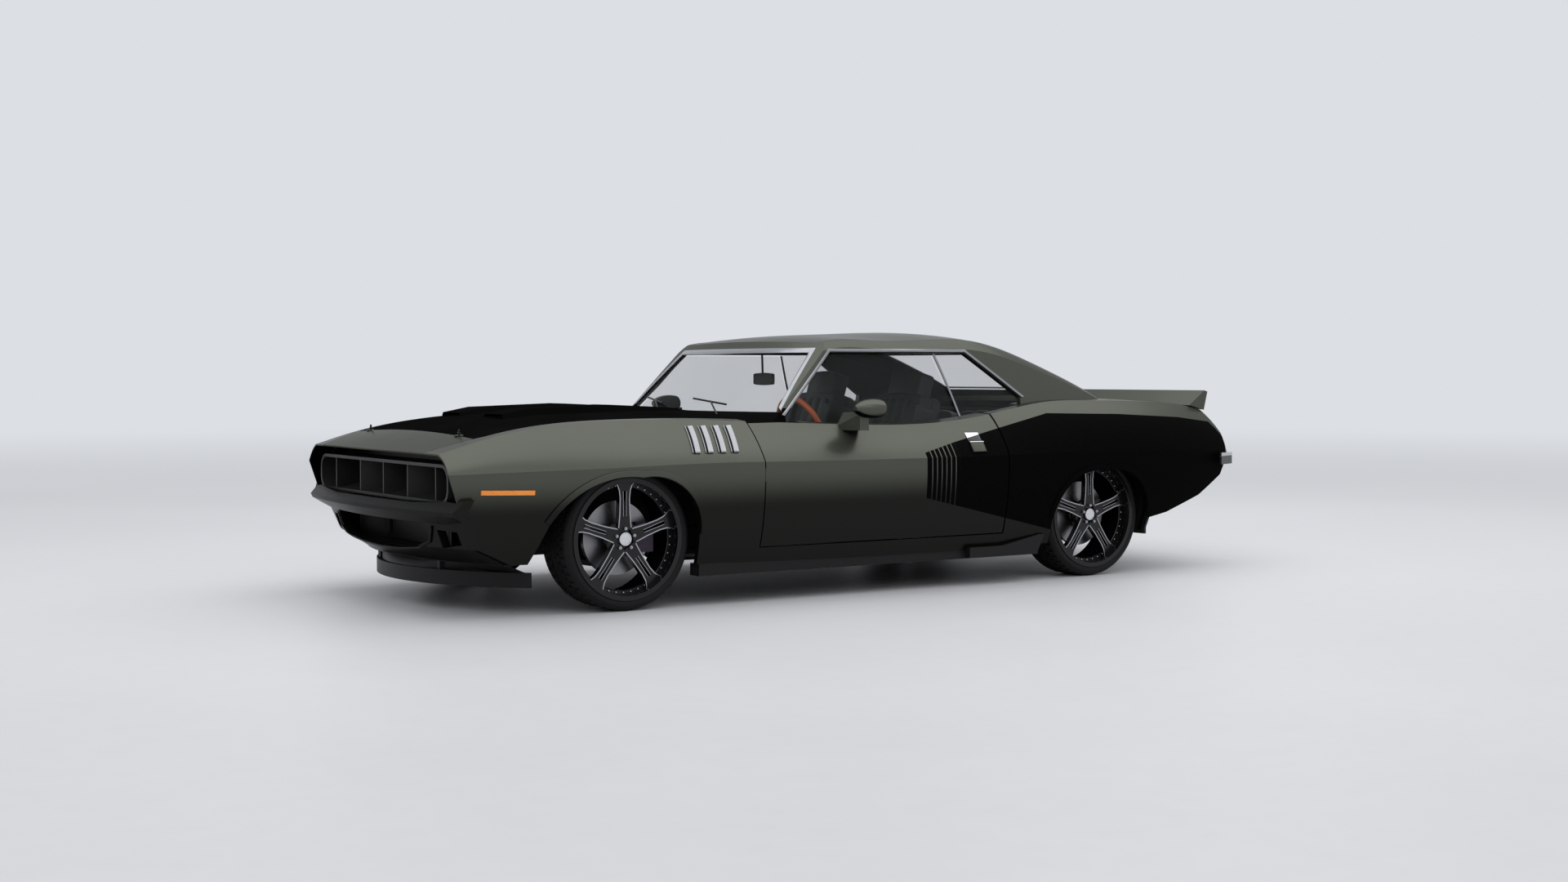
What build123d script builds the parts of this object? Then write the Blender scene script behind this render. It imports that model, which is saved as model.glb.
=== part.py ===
import os
from math import cos, radians, sin

from build123d import *

# Driving sizes, mm. X forward, Y to the car's left, Z up from the road, origin under the middle.
WHEELBASE = 2743.0
FRONT_AXLE_X = 1452.0
REAR_AXLE_X = FRONT_AXLE_X - WHEELBASE
TYRE_RADIUS = 318.0
TYRE_WIDTH = 236.0
WHEEL_Y = 737.0
AXLE_Z = TYRE_RADIUS
KINGPIN_Y = 660.0
WALL = 28.0
DOOR_WALL = 110.0
ROOF_WALL = 30.0
GAP = 6.0
SEAT = 0.4
PIN_PLAY = 0.06
HINGE_PIN = 4.0
HINGE_Y = 600.0
DOOR_HINGE_X = 790.5
DOOR_HINGE_Y = 944.0
DOOR_PIN = 2.6
HOOD_HINGE_X = 757.0
HOOD_HINGE_Z = 835.0
LID_HINGE_X = -1560.0
LID_HINGE_Z = 914.0
LID_HINGE_Y = 440.0
TOW_EYE_RADIUS = 16.0
JACK_PAD_X = (640.0, -620.0)

DOOR_FRONT_X = 788.0
DOOR_REAR_X = -638.0
DOOR_LOW_Z = 258.0
HOOD_REAR_X = 766.0
HOOD_HALF = 700.0
HOOD_NOSE_HALF = 560.0
LID_FRONT_X = -1566.0
LID_REAR_X = -2400.0
LID_HALF = 690.0
NOSE_EDGE = 6.0
NOSE_EDGE_X = 2180.0
GRILLE_LOW = 494.0
BODY_TABLE_NAMES = ("x", "sill_y", "sill_z", "crease_y", "crease_z", "shoulder_y", "shoulder_z", "crown_z",
                    "low_bulge", "high_bulge")
BODY_TABLE = (
    (2360, 700, 230, 812, 622, 722, 690, 696, 10, 10),
    (2150, 790, 230, 868, 627, 742, 750, 775, 16, 14),
    (1800, 835, 225, 916, 634, 742, 818, 850, 22, 16),
    (1452, 858, 205, 938, 641, 744, 838, 872, 25, 16),
    (1064, 866, 190, 941, 648, 756, 838, 877, 25, 14),
    (700, 870, 185, 943, 646, 780, 824, 870, 25, 10),
    (250, 872, 180, 946, 643, 806, 807, 830, 25, 8),
    (-200, 874, 180, 949, 642, 806, 803, 826, 25, 8),
    (-640, 876, 182, 951, 645, 800, 846, 866, 25, 14),
    (-1000, 876, 190, 952, 650, 790, 902, 914, 25, 24),
    (-1291, 872, 200, 951, 650, 788, 910, 926, 25, 30),
    (-1750, 850, 240, 938, 645, 782, 898, 916, 25, 30),
    (-2150, 800, 280, 890, 632, 768, 850, 866, 22, 26),
    (-2420, 760, 300, 820, 620, 740, 800, 812, 18, 20),
)
CABIN_TABLE_NAMES = ("x", "belt_y", "edge_y", "edge_z", "round_in", "round_up", "crown_z")
CABIN_TABLE = (
    (860, 776, 682, 1146, 90, 34, 1200),
    (290, 776, 684, 1158, 90, 36, 1214),
    (0, 778, 690, 1168, 95, 46, 1246),
    (-400, 774, 686, 1168, 100, 52, 1262),
    (-750, 764, 672, 1150, 110, 58, 1246),
    (-1000, 752, 662, 1086, 120, 60, 1186),
    (-1250, 738, 660, 1006, 130, 48, 1084),
    (-1500, 724, 660, 912, 140, 24, 946),
    (-1640, 716, 655, 850, 140, 16, 868),
)
# Front and tail faces: height, reach at the middle, reach at SIDE_Y from the middle.
SIDE_Y = 800.0
NOSE_TABLE = ((1000, 2330, 2294), (700, 2325, 2290), (625, 2322, 2296), (500, 2300, 2256), (400, 2300, 2196),
              (300, 2288, 2152), (230, 2200, 2005), (60, 2090, 1830))
BUMPER_TABLE = ((560, 2310, 2240), (492, 2318, 2262), (464, 2350, 2290), (446, 2346, 2282), (408, 2318, 2222))
TAIL_TABLE = ((1000, -2150, -2110), (850, -2180, -2140), (725, -2270, -2224), (613, -2312, -2258),
              (503, -2262, -2208), (397, -2100, -2042), (314, -1860, -1800), (284, -1660, -1625),
              (60, -1660, -1625))
SCREEN_TABLE = ((700, 914, 674), (1300, 206, 137))
FRONT_ARCH = ((1104, 100), (1120, 330), (1196, 520), (1424, 592), (1690, 548), (1852, 400), (1985, 100))
REAR_ARCH = ((-955, 100), (-955, 318), (-1048, 486), (-1285, 546), (-1528, 486), (-1618, 318), (-1618, 100))


def bulged(start, end, bulge):
    run, rise = end[0] - start[0], end[1] - start[1]
    span = (run**2 + rise**2) ** 0.5
    middle = ((start[0] + end[0]) / 2 + rise / span * bulge, (start[1] + end[1]) / 2 - run / span * bulge)
    return ThreePointArc(start, middle, end)


def flip(point):
    return (-point[0], point[1])


def body_edges(row, wall, lid, drop):
    r = dict(zip(BODY_TABLE_NAMES, row))
    sill = (r["sill_y"] - wall, r["sill_z"])
    foot = (sill[0], sill[1] - drop)
    crease = (r["crease_y"] - wall, r["crease_z"])
    shoulder = (r["shoulder_y"] - wall, r["shoulder_z"] - lid)
    with BuildLine() as rim:
        bulged(sill, crease, r["low_bulge"])
        bulged(crease, shoulder, r["high_bulge"])
        ThreePointArc(shoulder, (0, r["crown_z"] - lid), flip(shoulder))
        bulged(flip(shoulder), flip(crease), r["high_bulge"])
        bulged(flip(crease), flip(sill), r["low_bulge"])
        if drop:
            Polyline(flip(sill), flip(foot), foot, sill)
        else:
            Line(flip(sill), sill)
    return rim.edges()


def body_hull(wall=0.0, lid=0.0, drop=0.0):
    with BuildPart() as hull:
        for row in BODY_TABLE:
            with BuildSketch(Plane.YZ.offset(row[0])):
                make_face(body_edges(row, wall, lid, drop))
        loft()
    return hull.part


def cabin_edges(row, inset):
    r = dict(zip(CABIN_TABLE_NAMES, row))
    foot = (r["belt_y"] - inset, 690)
    edge = (r["edge_y"] - inset, r["edge_z"] - inset * 0.4)
    top = (edge[0] - r["round_in"], edge[1] + r["round_up"] - inset * 0.5)
    with BuildLine() as rim:
        bulged(foot, edge, 12)
        bulged(edge, top, 14)
        ThreePointArc(top, (0, r["crown_z"] - inset), flip(top))
        bulged(flip(top), flip(edge), 14)
        bulged(flip(edge), flip(foot), 12)
        Line(flip(foot), foot)
    return rim.edges()


def cabin_hull(inset=0.0):
    with BuildPart() as hull:
        for row in CABIN_TABLE:
            with BuildSketch(Plane.YZ.offset(row[0])):
                make_face(cabin_edges(row, inset))
        loft()
    return hull.part


def curtain(table, shift, far):
    # A tall solid whose one end face is ruled between plan arcs, the other end flat at far.
    with BuildPart() as wall:
        for z, middle, side in table:
            wide = 1.25
            end = middle + (side - middle) * wide**2 + shift
            with BuildSketch(Plane.XY.offset(z)):
                with BuildLine():
                    ThreePointArc((end, -SIDE_Y * wide), (middle + shift, 0), (end, SIDE_Y * wide))
                    Polyline((end, SIDE_Y * wide), (far, SIDE_Y * wide), (far, -SIDE_Y * wide),
                             (end, -SIDE_Y * wide))
                make_face()
        loft(ruled=True)
    return wall.part


def side_prism(points, y0, y1):
    with BuildPart() as prism:
        with BuildSketch(Plane.XZ.offset(-y1)):
            with BuildLine():
                Polyline(*points, close=True)
            make_face()
        extrude(amount=y1 - y0)
    return prism.part


def plan_prism(points, z0, z1):
    with BuildPart() as prism:
        with BuildSketch(Plane.XY.offset(z0)):
            with BuildLine():
                Polyline(*points, close=True)
            make_face()
        extrude(amount=z1 - z0)
    return prism.part


def front_prism(points, x0, x1):
    with BuildPart() as prism:
        with BuildSketch(Plane.YZ.offset(x0)):
            with BuildLine():
                Polyline(*points, close=True)
            make_face()
        extrude(amount=x1 - x0)
    return prism.part


def block(x0, x1, y0, y1, z0, z1, rounding=0.0):
    with BuildPart() as box:
        with Locations(((x0 + x1) / 2, (y0 + y1) / 2, (z0 + z1) / 2)):
            Box(x1 - x0, y1 - y0, z1 - z0)
        if rounding:
            fillet(box.edges(), rounding)
    return box.part


def rod(start, end, radius):
    axis = Vector(*end) - Vector(*start)
    with BuildPart() as bar:
        with BuildSketch(Plane(origin=start, z_dir=axis)):
            Circle(radius)
        extrude(amount=axis.length)
    return bar.part


def arch_prism(points, y0, y1):
    a, b, c, d, e, f, g = points
    with BuildPart() as prism:
        with BuildSketch(Plane.XZ.offset(-y1)):
            with BuildLine():
                Line(a, b)
                ThreePointArc(b, c, d)
                ThreePointArc(d, e, f)
                Polyline(f, g, a)
            make_face()
        extrude(amount=y1 - y0)
    return prism.part


def both_sides(part):
    with BuildPart() as pair:
        add(part)
        mirror(part, about=Plane.XZ)
    return pair.part


def common(*solids):
    with BuildPart() as kept:
        add(solids[0])
        for solid in solids[1:]:
            add(solid, mode=Mode.INTERSECT)
    return kept.part


def joined(*solids):
    with BuildPart() as whole:
        for solid in solids:
            add(solid)
    return whole.part


def less(part, *cutters):
    with BuildPart() as rest:
        add(part)
        for cutter in cutters:
            add(cutter, mode=Mode.SUBTRACT)
    return rest.part


os.makedirs("parts", exist_ok=True)


def save(part, name):
    part.label = name
    export_step(part, "parts/" + name + ".step")


# Body skin: one lofted hull trimmed by the nose and tail faces, opened by a smaller hull.
nose = curtain(NOSE_TABLE, 0, -3000)
tail = curtain(TAIL_TABLE, 0, 3000)
outer = body_hull()
inner = body_hull(WALL, WALL, 300)
front_arch = arch_prism(FRONT_ARCH, 520, 1100)
rear_arch = arch_prism(REAR_ARCH, 520, 1100)

# Hood: plan wedge of the skin with two raised scoops.
hood_plan = ((HOOD_REAR_X, -HOOD_HALF), (2060, -HOOD_HALF + 20), (2400, -HOOD_NOSE_HALF),
             (2400, HOOD_NOSE_HALF), (2060, HOOD_HALF - 20), (HOOD_REAR_X, HOOD_HALF))
hood_hole = ((HOOD_REAR_X - 300, -HOOD_HALF - GAP), (2060, -HOOD_HALF + 20 - GAP), (2400, -HOOD_NOSE_HALF - GAP),
             (2400, HOOD_NOSE_HALF + GAP), (2060, HOOD_HALF - 20 + GAP), (HOOD_REAR_X - 300, HOOD_HALF + GAP))
nose_thinning = common(body_hull(NOSE_EDGE, NOSE_EDGE, 300), block(NOSE_EDGE_X, 2500, -1000, 1000, GRILLE_LOW, 1000))
hood_skin = less(common(outer, plan_prism(hood_plan, 640, 1000), nose), inner, nose_thinning)
# Scoops: station, half width at the foot and at the top, top height; the mouth opens forward.
SCOOP_TABLE = ((1810, 122, 96, 863), (1680, 124, 92, 888), (1250, 114, 80, 902), (862, 84, 52, 884))
SCOOP_Y = 235.0
SCOOP_FOOT = 815.0
with BuildPart() as scoop:
    for x, foot, top, height in SCOOP_TABLE:
        with BuildSketch(Plane.YZ.offset(x)):
            Polygon((SCOOP_Y - foot, SCOOP_FOOT), (SCOOP_Y + foot, SCOOP_FOOT), (SCOOP_Y + top, height),
                    (SCOOP_Y - top, height), align=None)
    loft(ruled=True)
scoop_mouth = side_prism(((1700, 860), (1830, 850), (1830, 859), (1700, 876)), SCOOP_Y - 88, SCOOP_Y + 88)
hood_knuckle = less(block(HOOD_HINGE_X - 5, HOOD_HINGE_X + 45, HINGE_Y + 2, HINGE_Y + 22, 812, HOOD_HINGE_Z + 4),
                    rod((HOOD_HINGE_X, 0, HOOD_HINGE_Z), (HOOD_HINGE_X, 900, HOOD_HINGE_Z), HINGE_PIN + PIN_PLAY))
hood = joined(hood_skin, both_sides(less(scoop.part, inner, scoop_mouth)), both_sides(hood_knuckle))
save(hood, "hood")

# Front fenders ahead of the door, with the hood opening.
fender = less(common(outer, block(DOOR_FRONT_X + GAP, 2500, 300, 1100, 100, 1000), nose),
              inner, nose_thinning, front_arch, plan_prism(hood_hole, 640, 1000))
save(fender, "fender_left")
save(mirror(fender, about=Plane.XZ), "fender_right")

# Doors: the whole wall thickness, hollow under the waist, with a slanted rear shut face.
door_inner = body_hull(DOOR_WALL, 40, 300)
door_plan = ((DOOR_FRONT_X, 1000), (DOOR_FRONT_X, 600), (DOOR_REAR_X + 14, 600), (DOOR_REAR_X, 1000))
door = less(common(outer, plan_prism(door_plan, DOOR_LOW_Z, 1000)), door_inner,
            block(470, 800, 500, 786, 640, 1000), block(-700, 480, 500, 700, 700, 1000))
door_knuckle = joined(block(DOOR_FRONT_X - 8, DOOR_HINGE_X, DOOR_HINGE_Y - 10, DOOR_HINGE_Y + 1, 556, 616),
                      rod((DOOR_HINGE_X, DOOR_HINGE_Y, 556), (DOOR_HINGE_X, DOOR_HINGE_Y, 616), DOOR_PIN))
door = joined(door, door_knuckle)
save(door, "door_left")
save(mirror(door, about=Plane.XZ), "door_right")

# Quarter panels with the rear arch, the trunk opening and the cabin opening cut away.
lid_hole = ((LID_FRONT_X + 2 * GAP, -LID_HALF - GAP), (LID_REAR_X - 300, -LID_HALF - GAP),
            (LID_REAR_X - 300, LID_HALF + GAP), (LID_FRONT_X + 2 * GAP, LID_HALF + GAP))
deck_strip = block(LID_FRONT_X + 2 * GAP, -1420, -696, 696, 780, 1000)
quarter = less(common(outer, block(-2500, DOOR_REAR_X - GAP, 300, 1100, 100, 1000), tail), inner, rear_arch,
               plan_prism(lid_hole, 780, 1000), block(-1421, 800, -650, 650, 700, 1000),
               block(-895, 800, -735, 735, 700, 1000), deck_strip)
save(quarter, "quarter_left")
save(mirror(quarter, about=Plane.XZ), "quarter_right")
deck_lug = joined(block(LID_HINGE_X - 3, LID_FRONT_X + 2 * GAP + 16, LID_HINGE_Y - 10, LID_HINGE_Y,
                        892, LID_HINGE_Z + 3),
                  rod((LID_HINGE_X, LID_HINGE_Y - 10, LID_HINGE_Z), (LID_HINGE_X, LID_HINGE_Y + 22, LID_HINGE_Z),
                      HINGE_PIN))
rear_deck = joined(less(common(outer, deck_strip), inner), both_sides(deck_lug))
save(rear_deck, "rear_deck")

lid_plan = ((LID_FRONT_X, -LID_HALF), (LID_REAR_X, -LID_HALF), (LID_REAR_X, LID_HALF), (LID_FRONT_X, LID_HALF))
lid_knuckle = block(LID_FRONT_X - 34, LID_HINGE_X, LID_HINGE_Y + 2, LID_HINGE_Y + 22, 880, LID_HINGE_Z + 3)
lid_bore = rod((LID_HINGE_X, -900, LID_HINGE_Z), (LID_HINGE_X, 900, LID_HINGE_Z), HINGE_PIN + PIN_PLAY)
lid_solid = joined(common(outer, plan_prism(lid_plan, 780, 1000), tail), lid_knuckle,
                   mirror(lid_knuckle, about=Plane.XZ))
trunk_lid = less(lid_solid, inner, lid_bore)
save(trunk_lid, "trunk_lid")

# Sills under the doors, between the panels of the two arches.
sill_box = block(DOOR_REAR_X - GAP, DOOR_FRONT_X + GAP, 300, 1100, 100, DOOR_LOW_Z - GAP)
sill = less(common(outer, sill_box), inner)
save(both_sides(sill), "sills")

# Roof with pillars: a second hull cut back to the screen, hollow, with the window openings.
screen = curtain(SCREEN_TABLE, 0, -3000)
screen_inside = curtain(SCREEN_TABLE, -46, -3000)
cabin_outer = common(cabin_hull(), screen)
cabin_inner = common(cabin_hull(ROOF_WALL), screen_inside)
COWL_DROP = 46.0
cowl_hull = body_hull(0, COWL_DROP, 0)
side_window = ((545, 640), (545, 842), (262, 1148), (-560, 1150), (-905, 925), (-905, 640))
SCREEN_HOLE = ((-722, 866), (722, 866), (622, 1170), (-622, 1170))
REAR_HOLE = ((-575, 958), (575, 958), (530, 1160), (-530, 1160))
window_hole = side_prism(side_window, 500, 1000)
screen_hole = front_prism(SCREEN_HOLE, 100, 1000)
rear_hole = front_prism(REAR_HOLE, -1700, -860)
roof = less(cabin_outer, cabin_inner, window_hole, mirror(window_hole, about=Plane.XZ), screen_hole, rear_hole,
            common(cowl_hull, block(300, 1000, -1000, 1000, 0, 1000)),
            common(outer, block(-2500, 300, -1000, 1000, 0, 1000)))
save(roof, "roof")
cowl_lug = joined(block(HOOD_HINGE_X - 12, HOOD_HINGE_X + 3, HINGE_Y - 10, HINGE_Y, 770, HOOD_HINGE_Z + 4),
                  rod((HOOD_HINGE_X, HINGE_Y - 10, HOOD_HINGE_Z), (HOOD_HINGE_X, HINGE_Y + 22, HOOD_HINGE_Z), HINGE_PIN))
cowl = joined(less(common(cowl_hull, block(500, HOOD_REAR_X - GAP, -780, 780, 700, 1000)),
                   body_hull(0, COWL_DROP + 40, 0)), both_sides(cowl_lug))
save(cowl, "cowl")

# Glass: thin layers under the outer faces, each a hair smaller than its opening.
def shrunk(points, edge):
    middle = (sum(p[0] for p in points) / len(points), sum(p[1] for p in points) / len(points))
    return tuple((p[0] - edge if p[0] > middle[0] else p[0] + edge, p[1] - edge if p[1] > middle[1] else p[1] + edge)
                 for p in points)


pane_outer = cabin_hull(9)
pane_inner = cabin_hull(14)
screen_pane = less(common(curtain(SCREEN_TABLE, -12, -3000), front_prism(shrunk(SCREEN_HOLE, SEAT), 100, 1000)),
                   curtain(SCREEN_TABLE, -19, -3000))
save(screen_pane, "windscreen")
rear_pane = less(common(pane_outer, front_prism(shrunk(REAR_HOLE, SEAT), -1700, -860)), pane_inner)
save(rear_pane, "rear_glass")
door_window = ((530, 640), (530, 846), (257, 1141), (-352, 1143), (-545, 640))
quarter_window = ((-358, 1149.5), (-560, 1149.5), (-904, 925), (-904, 640), (-551, 640))
door_pane = less(common(pane_outer, side_prism(door_window, 500, 1000)), pane_inner,
                 common(outer, block(-700, 700, 300, 1000, 500, 1000)))
save(door_pane, "door_glass_left")
save(mirror(door_pane, about=Plane.XZ), "door_glass_right")
quarter_pane = less(common(pane_outer, side_prism(quarter_window, 500, 1000)), pane_inner,
                    common(outer, block(-1200, 0, 300, 1000, 500, 1000)))
save(both_sides(quarter_pane), "quarter_glass")

# Rear wall inside the quarters.
tail_inside = curtain(TAIL_TABLE, WALL, 3000)
tail_panel = less(common(inner, tail, block(-2500, -1900, -1000, 1000, 400, 812)), tail_inside)
save(tail_panel, "tail_panel")

# Under the skin: the front frame with the firewall, the cabin floor with its tunnel, and the trunk floor.
FIREWALL_X = 740.0
SEAT_WALL_X = -1140.0
FLOOR_Z = 196.0
FLOOR_SHEET = 20.0
tunnel_hollow = block(-1010, 800, -122, 122, 100, 376)
exhaust_pass = both_sides(block(-1200, -1100, 440, 535, 100, 300))
apron = joined(block(860, 2060, 432, 446, 330, 752), block(860, 2080, 432, 960, 740, 752))
post = joined(block(DOOR_FRONT_X + GAP, 872, 700, 960, FLOOR_Z, 752), block(FIREWALL_X, 872, 700, 770, FLOOR_Z, 740))
front_half = common(joined(apron, post, block(FIREWALL_X, 2030, 360, 432, 230, 320),
                           block(2000, 2080, 360, 432, 300, 360)), inner)
firewall = joined(block(FIREWALL_X, FIREWALL_X + FLOOR_SHEET, -770, 770, FLOOR_Z, 760),
                  common(inner, block(FIREWALL_X, 872, -900, 900, FLOOR_Z, FLOOR_Z + FLOOR_SHEET)))
lamp_wall = joined(block(2060, 2080, -450, 450, 300, 690), block(2060, 2080, -640, 640, 474, 690))
front_frame = less(joined(firewall, lamp_wall, front_half, mirror(front_half, about=Plane.XZ)),
                   tunnel_hollow, block(2050, 2090, -340, 340, 300, 660), cowl)
save(front_frame, "front_frame")

pads = [block(x - 35, x + 35, 665, 735, FLOOR_Z - 12, FLOOR_Z + 4) for x in JACK_PAD_X]
floor_pan = less(joined(common(inner, block(SEAT_WALL_X, FIREWALL_X, -900, 900, FLOOR_Z, FLOOR_Z + FLOOR_SHEET)),
                        block(-1000, FIREWALL_X, -140, 140, FLOOR_Z, 392), *[both_sides(pad) for pad in pads]),
                 tunnel_hollow, exhaust_pass, both_sides(block(-1690, -930, 575, 970, 100, 722)))
save(floor_pan, "floor_pan")

wheel_hollow = block(-1675, -945, 590, 970, 100, 707)
wheelhouse = less(block(-1690, -930, 575, 960, 200, 722), wheel_hollow)
rear_half = common(joined(block(-2200, SEAT_WALL_X, 440, 500, 430, 470), wheelhouse), inner)
trunk_floor = less(joined(block(SEAT_WALL_X - FLOOR_SHEET, SEAT_WALL_X, -600, 600, FLOOR_Z, 860),
                          block(-2240, SEAT_WALL_X - 10, -580, 580, 470, 486),
                          rear_half, mirror(rear_half, about=Plane.XZ)),
                   block(-1200, -1100, -110, 110, 100, 420), exhaust_pass, both_sides(wheel_hollow), tail_panel,
                   rod((REAR_AXLE_X, -700, AXLE_Z), (REAR_AXLE_X, 700, AXLE_Z), 46))
save(trunk_floor, "trunk_floor")

tow_front = less(block(1945, 2005, 385, 405, 164, 230 - SEAT),
                 rod((1975, 300, 190), (1975, 500, 190), TOW_EYE_RADIUS))
tow_rear = less(block(-2056, -1996, 462, 482, 352, 430 - SEAT),
                rod((-2026, 400, 382), (-2026, 600, 382), TOW_EYE_RADIUS))
save(joined(both_sides(tow_front), both_sides(tow_rear)), "tow_eyes")

engine = joined(block(1010, 1640, -280, 280, 330, 720), block(1060, 1370, -120, 120, 240, 330),
                block(430, 1010, -108, 108, 236, 366))
save(engine, "engine_block")

# Front crossmember with lower arms, upper arms from the aprons, studs on the kingpin axis.
lower_arm = joined(plan_prism(((FRONT_AXLE_X - 70, 340), (FRONT_AXLE_X + 70, 340), (FRONT_AXLE_X + 28, 684),
                               (FRONT_AXLE_X - 28, 684)), 180, 205 - SEAT),
                   rod((FRONT_AXLE_X, KINGPIN_Y, 200), (FRONT_AXLE_X, KINGPIN_Y, 235), 12))
upper_arm = joined(block(FRONT_AXLE_X - 26, FRONT_AXLE_X + 26, 446, 682, 450 + SEAT, 470),
                   rod((FRONT_AXLE_X, KINGPIN_Y, 455), (FRONT_AXLE_X, KINGPIN_Y, 420), 12))
cross_half = joined(block(FRONT_AXLE_X - 60, FRONT_AXLE_X + 60, 0, 360, 210, 290), lower_arm,
                    block(FRONT_AXLE_X - 60, FRONT_AXLE_X + 60, 300, 360, 180, 240),
                    block(FRONT_AXLE_X - 50, FRONT_AXLE_X + 50, 200, 270, 280, 330))
front_suspension = joined(cross_half, mirror(cross_half, about=Plane.XZ), both_sides(upper_arm))
save(front_suspension, "front_suspension")

# Knuckle with spindle and caliper, bored for the kingpin studs.
DISC_RADIUS = 165.0
caliper = less(block(FRONT_AXLE_X - 176, FRONT_AXLE_X - 88, 664, 762, 250, 386),
               block(FRONT_AXLE_X - DISC_RADIUS - 6, FRONT_AXLE_X + 200, 708, 746, 200, 420))
knuckle = less(joined(block(FRONT_AXLE_X - 40, FRONT_AXLE_X + 40, 632, 688, 205, 450), caliper,
                      block(FRONT_AXLE_X - 120, FRONT_AXLE_X - 30, 664, 686, 270, 366),
                      rod((FRONT_AXLE_X, 680, AXLE_Z), (FRONT_AXLE_X, WHEEL_Y + 38, AXLE_Z), 20)),
               rod((FRONT_AXLE_X, KINGPIN_Y, 200), (FRONT_AXLE_X, KINGPIN_Y, 242), 12 + PIN_PLAY),
               rod((FRONT_AXLE_X, KINGPIN_Y, 455), (FRONT_AXLE_X, KINGPIN_Y, 413), 12 + PIN_PLAY))
save(knuckle, "knuckle_left")
save(mirror(knuckle, about=Plane.XZ), "knuckle_right")

# Rear axle with spindles, differential, leaf springs and drive shaft.
leaf = joined(side_prism(((-740, 172), (-1330, 166), (-1975, 400), (-1975, 430), (-1930, 430), (-1330, 190),
                          (-765, 190), (-765, 196), (-740, 196)), 455, 520),
              block(REAR_AXLE_X - 40, REAR_AXLE_X + 40, 455, 520, 170, 300))
with BuildPart() as differential:
    with Locations((REAR_AXLE_X, 0, AXLE_Z)):
        Sphere(115)
    with BuildSketch(Plane.XZ.offset(610)):
        with Locations((REAR_AXLE_X, AXLE_Z)):
            Circle(40)
    extrude(amount=-1220)
    with BuildSketch(Plane.XZ.offset(WHEEL_Y + 38)):
        with Locations((REAR_AXLE_X, AXLE_Z)):
            Circle(20)
    extrude(amount=-2 * (WHEEL_Y + 38))
rear_axle = joined(differential.part, both_sides(leaf), rod((REAR_AXLE_X + 100, 0, AXLE_Z), (440, 0, 302), 36))
rear_axle = less(rear_axle, engine)
save(rear_axle, "rear_axle")

pipe = joined(rod((1150, 200, 300), (960, 220, 168), 26), rod((960, 220, 168), (-1640, 300, 168), 26),
              block(-20, 20, 240, 280, 168, 196), block(-2010, -1630, 250, 430, 165, 285, 30),
              rod((-2000, 340, 230), (-2190, 340, 300), 30), block(-1830, -1790, 330, 352, 270, 470))
save(both_sides(less(pipe, engine)), "exhaust")
save(block(-1990, -1480, -320 + 80, 320 - 80, 300, 470, 24), "fuel_tank")
save(block(2030, 2060, -360, 360, 280, 680), "radiator")

# Front end: valance with its mouths, chin spoiler, wrapped bumper on irons, grille with deep bays, lamps.
MOUTH = ((-550, 404), (550, 404), (516, 332), (400, 296), (200, 280), (0, 276), (-200, 280), (-400, 296), (-516, 332))
SIDE_MOUTH = ((584, 378), (722, 374), (724, 318), (592, 298))
valance = less(common(inner, nose, block(1700, 2500, -1000, 1000, 225, 468)), curtain(NOSE_TABLE, -40, -3000),
               front_arch, mirror(front_arch, about=Plane.XZ), front_prism(MOUTH, 1900, 2500),
               both_sides(front_prism(SIDE_MOUTH, 1900, 2500)))
save(valance, "front_valance")
with BuildPart() as chin:
    with BuildSketch(Plane.XY.offset(118)):
        with BuildLine():
            ThreePointArc((1870, -745), (2205, 0), (1870, 745))
            Polyline((1870, 745), (1870, 728), (1862, 728))
            ThreePointArc((1862, 728), (2188, 0), (1862, -728))
            Polyline((1862, -728), (1870, -728), (1870, -745))
        make_face()
    extrude(amount=66)
chin_leg = less(block(2090, 2130, 330, 360, 150, 260), common(outer, nose), valance)
chin_spoiler = joined(chin.part, both_sides(chin_leg))
save(chin_spoiler, "chin_spoiler")
BUMPER_END = ((2196, 520), (2252, 516), (2300, 492), (2450, 492), (2450, 408), (2246, 408))
bumper_room = common(body_hull(-SEAT, -SEAT, 0), curtain(NOSE_TABLE, SEAT, -3000))
bumper_shape = common(body_hull(-30, -30, 0), curtain(BUMPER_TABLE, 0, -3000), side_prism(BUMPER_END, -1000, 1000))
bumper_iron = less(block(2080, 2300, 370, 420, 470, 486), valance)
front_bumper = joined(less(bumper_shape, bumper_room), both_sides(bumper_iron))
save(front_bumper, "front_bumper")
BAY_LOW, BAY_HIGH, BAY_HALF, BAY_ROUND = 506.0, 648.0, 744.0, 54.0
GRILLE_BACK, GRILLE_FACE = 2100.0, 2262.0
with BuildPart() as frame_ring:
    with BuildSketch(Plane.YZ.offset(GRILLE_BACK - 4)):
        with Locations((0, (BAY_LOW + BAY_HIGH) / 2)):
            RectangleRounded(2 * BAY_HALF + 28, BAY_HIGH - BAY_LOW + 28, BAY_ROUND + 14)
            RectangleRounded(2 * BAY_HALF, BAY_HIGH - BAY_LOW, BAY_ROUND, mode=Mode.SUBTRACT)
    extrude(amount=GRILLE_FACE - GRILLE_BACK + 4)
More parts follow.
